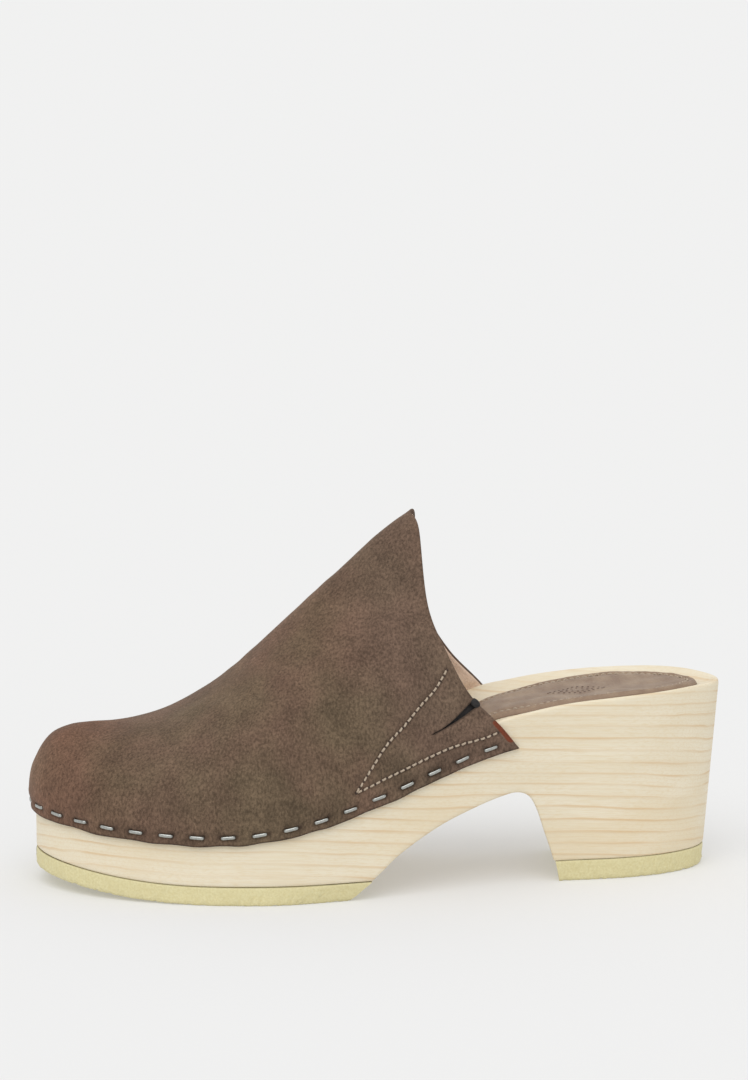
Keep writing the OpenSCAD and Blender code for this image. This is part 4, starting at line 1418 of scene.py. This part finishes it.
    def build_lining(self) -> Piece:
        """Makes the lining, which swells round the stiffener and the gore and runs down into the sole.

        Returns:
            The lining.
        """
        u = np.concatenate([np.linspace(0, 0.99, 110), [0.9935, 0.9955, self.lining_end]])
        low = (curve_at(self.rim_clear, u * self.rear_station[1]) - 0.22 - 0.3 * fade(0.7, 1, u))[:, None]
        v = mix(low, 2 * self.crown - low, np.linspace(0, 1, 150))
        s = (u * self.rear_station[0])[:, None]
        swell = (self.puff + self.gap) * fade(4.2, 3.4, s) + (self.gore + self.gap) * (
            fade(6.6, 7.2, s) * fade(0.2, 0.8, v) * fade(3.3, 2.8, v))
        behind = np.broadcast_to(((self.lining_end - u) * self.span)[:, None], v.shape)
        edge = 0.5 * (1 - ease(behind / 0.6))
        top = self.suede + self.gap + swell
        face, under = self.layer(u, v, top + edge * 0.4), self.layer(u, v, top + self.lining - edge * 0.4)
        slack = 0.28 * ripple(under, 18, 21) + 0.1 * ripple(under, 5, 22)
        under -= self.normals(under) * (np.maximum(slack, -0.2) * fade(0, 5, behind))[..., None]
        faces, _ = shell_faces(*v.shape, True, np.ones((v.shape[0] - 1, v.shape[1] - 1), bool))
        obj = make_object("vamp_lining_fitted", both_sides(face, under), faces, None, 80)
        return dress(obj, "lining_leather", [Finish.LINING.material], "vamp_lining")

    def build_gore(self) -> Piece:
        """Makes the elastic and the rolled binding at the slit's mouth.

        Returns:
            The gore.
        """
        u = np.linspace(*self.gore_stations, 60) / self.rear_station[0]
        low = (curve_at(self.rim_clear, u * self.rear_station[1]) + 0.02)[:, None]
        high = (curve_at(self.upper_seam, u * self.rear_station[0]) + 0.12)[:, None]
        v = mix(low, high, np.linspace(0, 1, 45))
        top = np.full(v.shape, self.suede + self.gap)
        face = self.layer(u, v, top + self.rib_depth * (1 + np.cos(np.arange(45) * math.pi))[None] / 2)
        grid = both_sides(face, self.layer(u, v, top + self.gore))
        faces, _ = shell_faces(*v.shape, False, np.ones((59, 44), bool))
        s = self.mouth_station / self.rear_station[0]
        middle = float(curve_at(self.slit_line, self.mouth_station))
        reach = 0.5 * self.slit_width / self.lip_reach + 0.05
        path_v = np.linspace(middle - reach, middle + reach, 14)[None]
        path = self.layer(np.array([s]), path_v, np.full((1, 14), 0.9))[0]
        full = np.sqrt(np.maximum(1 - np.linspace(-0.985, 0.985, 14) ** 2, 0)) ** 0.7
        points, tube_faces = tube(path, 3.2, 2.9, 16, self.outwards(np.array([s]), path_v)[0], full)
        joined = list(map(list, faces)) + [[k + len(grid) for k in face] for face in tube_faces]
        obj = make_object("gore_elastic_ribbed", np.concatenate([grid, points]), joined, None, 60)
        return dress(obj, "elastic", [Finish.ELASTIC.material], "gore_elastic")

    def build_seams(self) -> None:
        """Stitches both of the gore's seams, with a needle hole between every two stitches."""
        for node, seam, seed in (("gore_seam_upper", self.upper_seam, 31),
                                 ("gore_seam_lower", self.lower_seam, 32)):
            points, out = self.seam_line(seam)
            whole = length_of(points)
            count = int(whole / self.stitch_pitch)
            path, way = spaced(points, out, 241, whole / count / 2)
            obj = self.setter.set_out(node + "_sewn", path - way * 0.22, way, stitch(), count, 0.12, 0.12,
                                      seed, Finish.THREAD)
            dress(obj, "thread", [], node)
            holes = self.setter.set_out(node + "_holes", points - out * 0.12, out, needle_hole(), count + 1,
                                        0.4, 0.2, seed + 10, Finish.CUT_EDGE)
            dress(holes, "thread", [])

    def build_staples(self) -> Piece:
        """Drives the staples.

        Returns:
            The staples.
        """
        line, out, count = self.staple_line()
        level = unit(out * (1, 1, 0.0))
        obj = self.setter.set_out("staples_driven", line - out * 0.28, level, staple(), count, 0.05, 0.05, 41,
                                  Finish.STEEL)
        return dress(obj, "staple_steel", [], "staples")


@dataclass
class Stiffener:
    """The toe stiffener, hidden between suede and lining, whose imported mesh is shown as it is."""

    node: str = "toe_puff"

    def build(self) -> Piece:
        """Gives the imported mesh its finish.

        Returns:
            The stiffener.
        """
        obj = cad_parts[self.node]
        obj.data.materials.clear()
        obj.data.materials.append(Finish.STIFFENER.material)
        LOG.info("%s: %d faces, as packed", obj.name, len(obj.data.polygons))
        return obj


def stitch() -> Piece:
    """One stitch, fat in the middle and pulled down at its ends.

    Returns:
        The piece to set out.
    """
    x = np.array([-0.98, -0.86, -0.6, -0.25, 0, 0.25, 0.6, 0.86, 0.98])
    z = np.array([-0.42, -0.12, 0.1, 0.2, 0.22, 0.2, 0.1, -0.12, -0.42])
    path = np.stack([x, 0.06 * np.sin(x * 2), z], 1)
    points, faces = tube(path, 0.82, 0.66, 8, np.tile([0, 0, 1.0], (len(x), 1)))
    return make_object("one_stitch", points, faces, None, 80)


def needle_hole() -> Piece:
    """One needle hole, a small sunken dark spot.

    Returns:
        The piece to set out.
    """
    x = np.array([-0.42, -0.3, 0, 0.3, 0.42])
    path = np.stack([x, 0 * x, [-0.1, 0.05, 0.12, 0.05, -0.1]], 1)
    points, faces = tube(path, 0.9, 0.3, 8, np.tile([0, 0, 1.0], (5, 1)))
    return make_object("one_hole", points, faces, None, 80)


def staple() -> Piece:
    """One staple: a flattened crown with rounded shoulders and two legs.

    Returns:
        The piece to set out.
    """
    half = np.array([[-2.55, 0, -7.4], [-2.55, 0, -3.2], [-2.55, 0, -0.5], [-2.46, 0, -0.1], [-2.2, 0, 0.14],
                     [-1.8, 0, 0.24], [-0.9, 0, 0.3]])
    path = np.concatenate([half, [[0, 0, 0.32]], half[::-1] * (-1, 1, 1)])
    flat = np.concatenate([[[-1, 0, 0.0]] * 3, [[-1, 0, 0.5], [-0.6, 0, 1], [0, 0, 1], [0, 0, 1]]])
    flat = np.concatenate([flat, [[0, 0, 1.0]], flat[::-1] * (-1, 1, 1)])
    points, faces = tube(path, 1.25, 0.72, 12, flat)
    return make_object("one_staple", points, faces, None, 60)


# ---------- heel pad ----------

@dataclass
class SockPad:
    """The padded leather heel sock: a crowned cushion with a sewn channel inside its edge."""

    last: Last
    setter: PathSetter
    length: float = 100
    width: float = 50
    front: float = 22.2
    shift: float = -3
    leather: float = 1.0
    foam: float = 1.8
    seam_inset: float = 3.6
    spine: tuple[float, float] = (0.3, 0.72)
    plan: tuple = ((0, 0), (0.03, 0.3), (0.11, 0.55), (0.27, 0.78), (0.45, 0.93), (0.65, 1), (0.8, 0.9),
                   (0.92, 0.6), (0.98, 0.28), (1, 0))
    crown: tuple = ((0, -0.6), (0.25, -0.3), (0.7, 0.1), (1.6, 0.62), (3.6, 0.72), (7.5, 1.12), (14, 1.28),
                    (30, 1.34))
    stitch_pitch: float = 2.5
    stamp_x: float = 76
    stamp_reach: tuple[float, float] = (11, 6.5)
    stamp_dots: int = 24

    def middle(self, x: Array) -> Array:
        """The pad's centre line."""
        rows = np.array(self.last.plan)
        return curve_at(rows[:, :2], x - self.last.toe_x) + self.shift

    def outline(self, steps: int) -> Array:
        """The pad's outline in plan, from its front along the outer side and back.

        Args:
            steps: stretches on each side.

        Returns:
            (points, 2) places in plan.
        """
        at = outline_at(np.array(self.plan), (1, -1), np.linspace(0, len(self.plan) - 1, steps + 1))
        x = self.front + at[:, 0] * self.length
        near = np.stack([x, self.middle(x) - at[:, 1] * self.width / 2], 1)
        far = np.stack([x, self.middle(x) + at[:, 1] * self.width / 2], 1)
        return np.vstack([near, far[-2:0:-1]])

    def ring(self, edge: Array, inset: float, share: float) -> tuple[Array, Array]:
        """A ring of the pad in plan, and its distance from the edge.

        Args:
            edge: the pad's outline.
            inset: distance in from the outline.
            share: part of the way from the spine to that inset line.

        Returns:
            The places in plan, and their distances from the edge.
        """
        sx = np.clip(edge[:, 0], *(self.front + part * self.length for part in self.spine))
        s = np.stack([sx, self.middle(sx)], 1)
        away = np.linalg.norm(edge - s, axis=1)
        q = s + (edge - s) * (share * (away - inset) / away)[:, None]
        return q, away - share * (away - inset)

    def top(self, q: Array, distance: Array) -> Array:
        """Points on the pad's face.

        Args:
            q: (points, 2) places in plan.
            distance: of each from the edge.

        Returns:
            (points, 3) positions.
        """
        rise = 0.2 + self.leather + self.foam * curve_at(self.crown, distance)
        channel = np.exp(-((distance - self.seam_inset) / 0.75) ** 2)
        flat = np.concatenate([q, 0 * q[:, :1]], 1)
        gathers = 0.16 * ripple(flat, 3.4, 52) * np.exp(-((distance - self.seam_inset) / 2.4) ** 2)
        creases = 0.2 * ripple(flat, 13, 51, (1.6, 1, 1)) * fade(3, 9, distance)
        z = self.last.bed_z(q[:, 0], q[:, 1]) + rise - 0.6 * channel + gathers + creases
        return np.concatenate([q, z[:, None]], 1)

    def build(self) -> Piece:
        """Makes the cushion and its stitches.

        Returns:
            The cushion.
        """
        edge = self.outline(126)
        rings = []
        for share in (0.3, 0.7, 1):
            q, _ = self.ring(edge, 0.5, share)
            rings.append(np.concatenate([q, (self.last.bed_z(q[:, 0], q[:, 1]) - 0.25)[:, None]], 1))
        insets = (0, 0.12, 0.3, 0.6, 1, 1.5, 2, 2.5, 2.9, 3.25, 3.6, 3.95, 4.3, 4.8, 5.5)
        for inset in insets:
            rings.append(self.top(*self.ring(edge, inset, 1)))
        for share in np.linspace(1, 0.06, 26)[1:]:
            rings.append(self.top(*self.ring(edge, insets[-1], share)))
        points = np.array(rings)
        # painted shade: the pad's underside and rolled edge are darker, as a shadow line where it meets the
        # wood
        pad_edge_shade = np.zeros(points.shape[:2])
        pad_edge_shade[:5] = 1
        pad_edge_shade[5:7] = 0.4
        mark_next(dark=pad_edge_shade)
        faces = stack_faces(len(points), points.shape[1])
        obj = make_object("sock_pad_sewn", points.reshape(-1, 3), faces, None, 80)
        dress(obj, "sock_leather", [Finish.PAD.material], "sock_cover", "sock_foam")
        self.stitches(edge)
        self.stamp()
        return obj

    def stitches(self, edge: Array) -> None:
        """Sews the channel.

        Args:
            edge: the pad's outline.
        """
        line = self.top(*self.ring(edge, self.seam_inset, 1))
        line = np.vstack([line, line[:1]])
        whole = length_of(line)
        count = int(whole / self.stitch_pitch)
        path, up = spaced(line, np.tile([0, 0, 1.0], (len(line), 1)), 721, whole / count / 2)
        obj = self.setter.set_out("sock_seam_sewn", path + up * 0.3, up, stitch(), count, 0.14, 0.15, 61,
                                  Finish.THREAD)
        dress(obj, "thread", [], "sock_seam")

    def stamp(self) -> None:
        """Stamps a plain lozenge of dots where a maker would put a mark."""
        centre = np.array([self.stamp_x, float(self.middle(np.array(self.stamp_x)))])
        long, wide = self.stamp_reach
        corners = centre + np.array([[-long, 0], [0, -wide], [long, 0], [0, wide], [-long, 0]])
        t = np.tile(np.arange(12) / 12, 4)[:, None]
        lozenge = np.repeat(corners[:-1], 12, 0) * (1 - t) + np.repeat(corners[1:], 12, 0) * t - centre
        for number, share in enumerate((1.0, 0.55)):
            path = centre + lozenge * share
            line = self.top(path, np.full(len(path), 18.0))
            up = np.tile([0, 0, 1.0], (len(line), 1))
            obj = self.setter.set_out(f"sock_stamp_{number}", line - up * 0.02, up, needle_hole(),
                                      int(self.stamp_dots * share), 0, 0, 71 + number, Finish.STAMP)
            dress(obj, "sock_leather", [])


# ---------- studio ----------

@dataclass
class Studio:
    """A pale floor, soft light and the camera."""

    camera: tuple[float, float, float] = (-0.1791, -1.4674, 0.3712)
    target: tuple[float, float, float] = (-0.0013, 0.002, 0.1275)
    lens: float = 133.4
    sensor: float = 36
    clip: tuple[float, float] = (0.05, 100)
    floor_size: float = 40
    sky: float = 0.81
    sun: float = 1.08
    sun_angle: float = 50
    sun_turn: tuple[float, float, float] = (32, -14, 0)

    def build(self) -> None:
        """Sets the studio up."""
        data = bpy.data.cameras.new("camera")
        data.lens, data.sensor_fit = self.lens, "AUTO"
        data.sensor_width = data.sensor_height = self.sensor
        data.clip_start, data.clip_end = self.clip
        camera = bpy.data.objects.new("camera", data)
        camera.location = self.camera
        sight = Vector(self.target) - Vector(self.camera)
        camera.rotation_euler = sight.to_track_quat("-Z", "Y").to_euler()
        scene = bpy.context.scene
        scene.collection.objects.link(camera)
        scene.camera = camera
        scene.view_settings.view_transform = "Standard"
        half = self.floor_size / 2
        mesh = bpy.data.meshes.new("floor")
        corners = [(-half, -half, 0), (half, -half, 0), (half, half, 0), (-half, half, 0)]
        mesh.from_pydata(corners, [], [(0, 1, 2, 3)])
        mesh.materials.append(Finish.FLOOR.material)
        floor = bpy.data.objects.new("floor", mesh)
        scene.collection.objects.link(floor)
        world = bpy.data.worlds.new("studio")
        world.use_nodes = True
        light = world.node_tree.nodes["Background"]
        light.inputs["Color"].default_value = (1, 1, 1, 1)
        light.inputs["Strength"].default_value = self.sky
        scene.world = world
        lamp = bpy.data.lights.new("soft_sun", "SUN")
        lamp.energy, lamp.angle = self.sun, math.radians(self.sun_angle)
        sun = bpy.data.objects.new("soft_sun", lamp)
        sun.rotation_euler = [math.radians(a) for a in self.sun_turn]
        scene.collection.objects.link(sun)


def main() -> None:
    """Builds the studio and the clog."""
    logging.basicConfig(level=logging.INFO, format="%(name)s: %(message)s")
    Studio().build()
    last = Last()
    setter = PathSetter()
    WoodenSole(last).build()
    Tread(last, "forefoot_tread", "forefoot_outsole", 0.03, 7.1, last.floor_z,
          lambda d: last.floor_z(d) + last.outsole_thickness - 0.05, lambda t: -8.4 * fade(0.7, 1, t),
          lambda t: 0 * t, 190).build()
    Tread(last, "heel_tread", "heel_top_lift", 9.92, 14.94, lambda d: 0 * d,
          lambda d: 0 * d + last.lift_thickness - 0.05, lambda t: 1.8 * (1 - fade(0, 0.3, t)),
          lambda t: last.heel_front_slant * (1 - fade(0, 0.3, t)), 120).build()
    upper = Upper(last, setter)
    upper.build_suede()
    upper.build_lining()
    upper.build_gore()
    upper.build_seams()
    upper.build_staples()
    SockPad(last, setter).build()
    Stiffener().build()


if __name__ == "__main__":
    main()
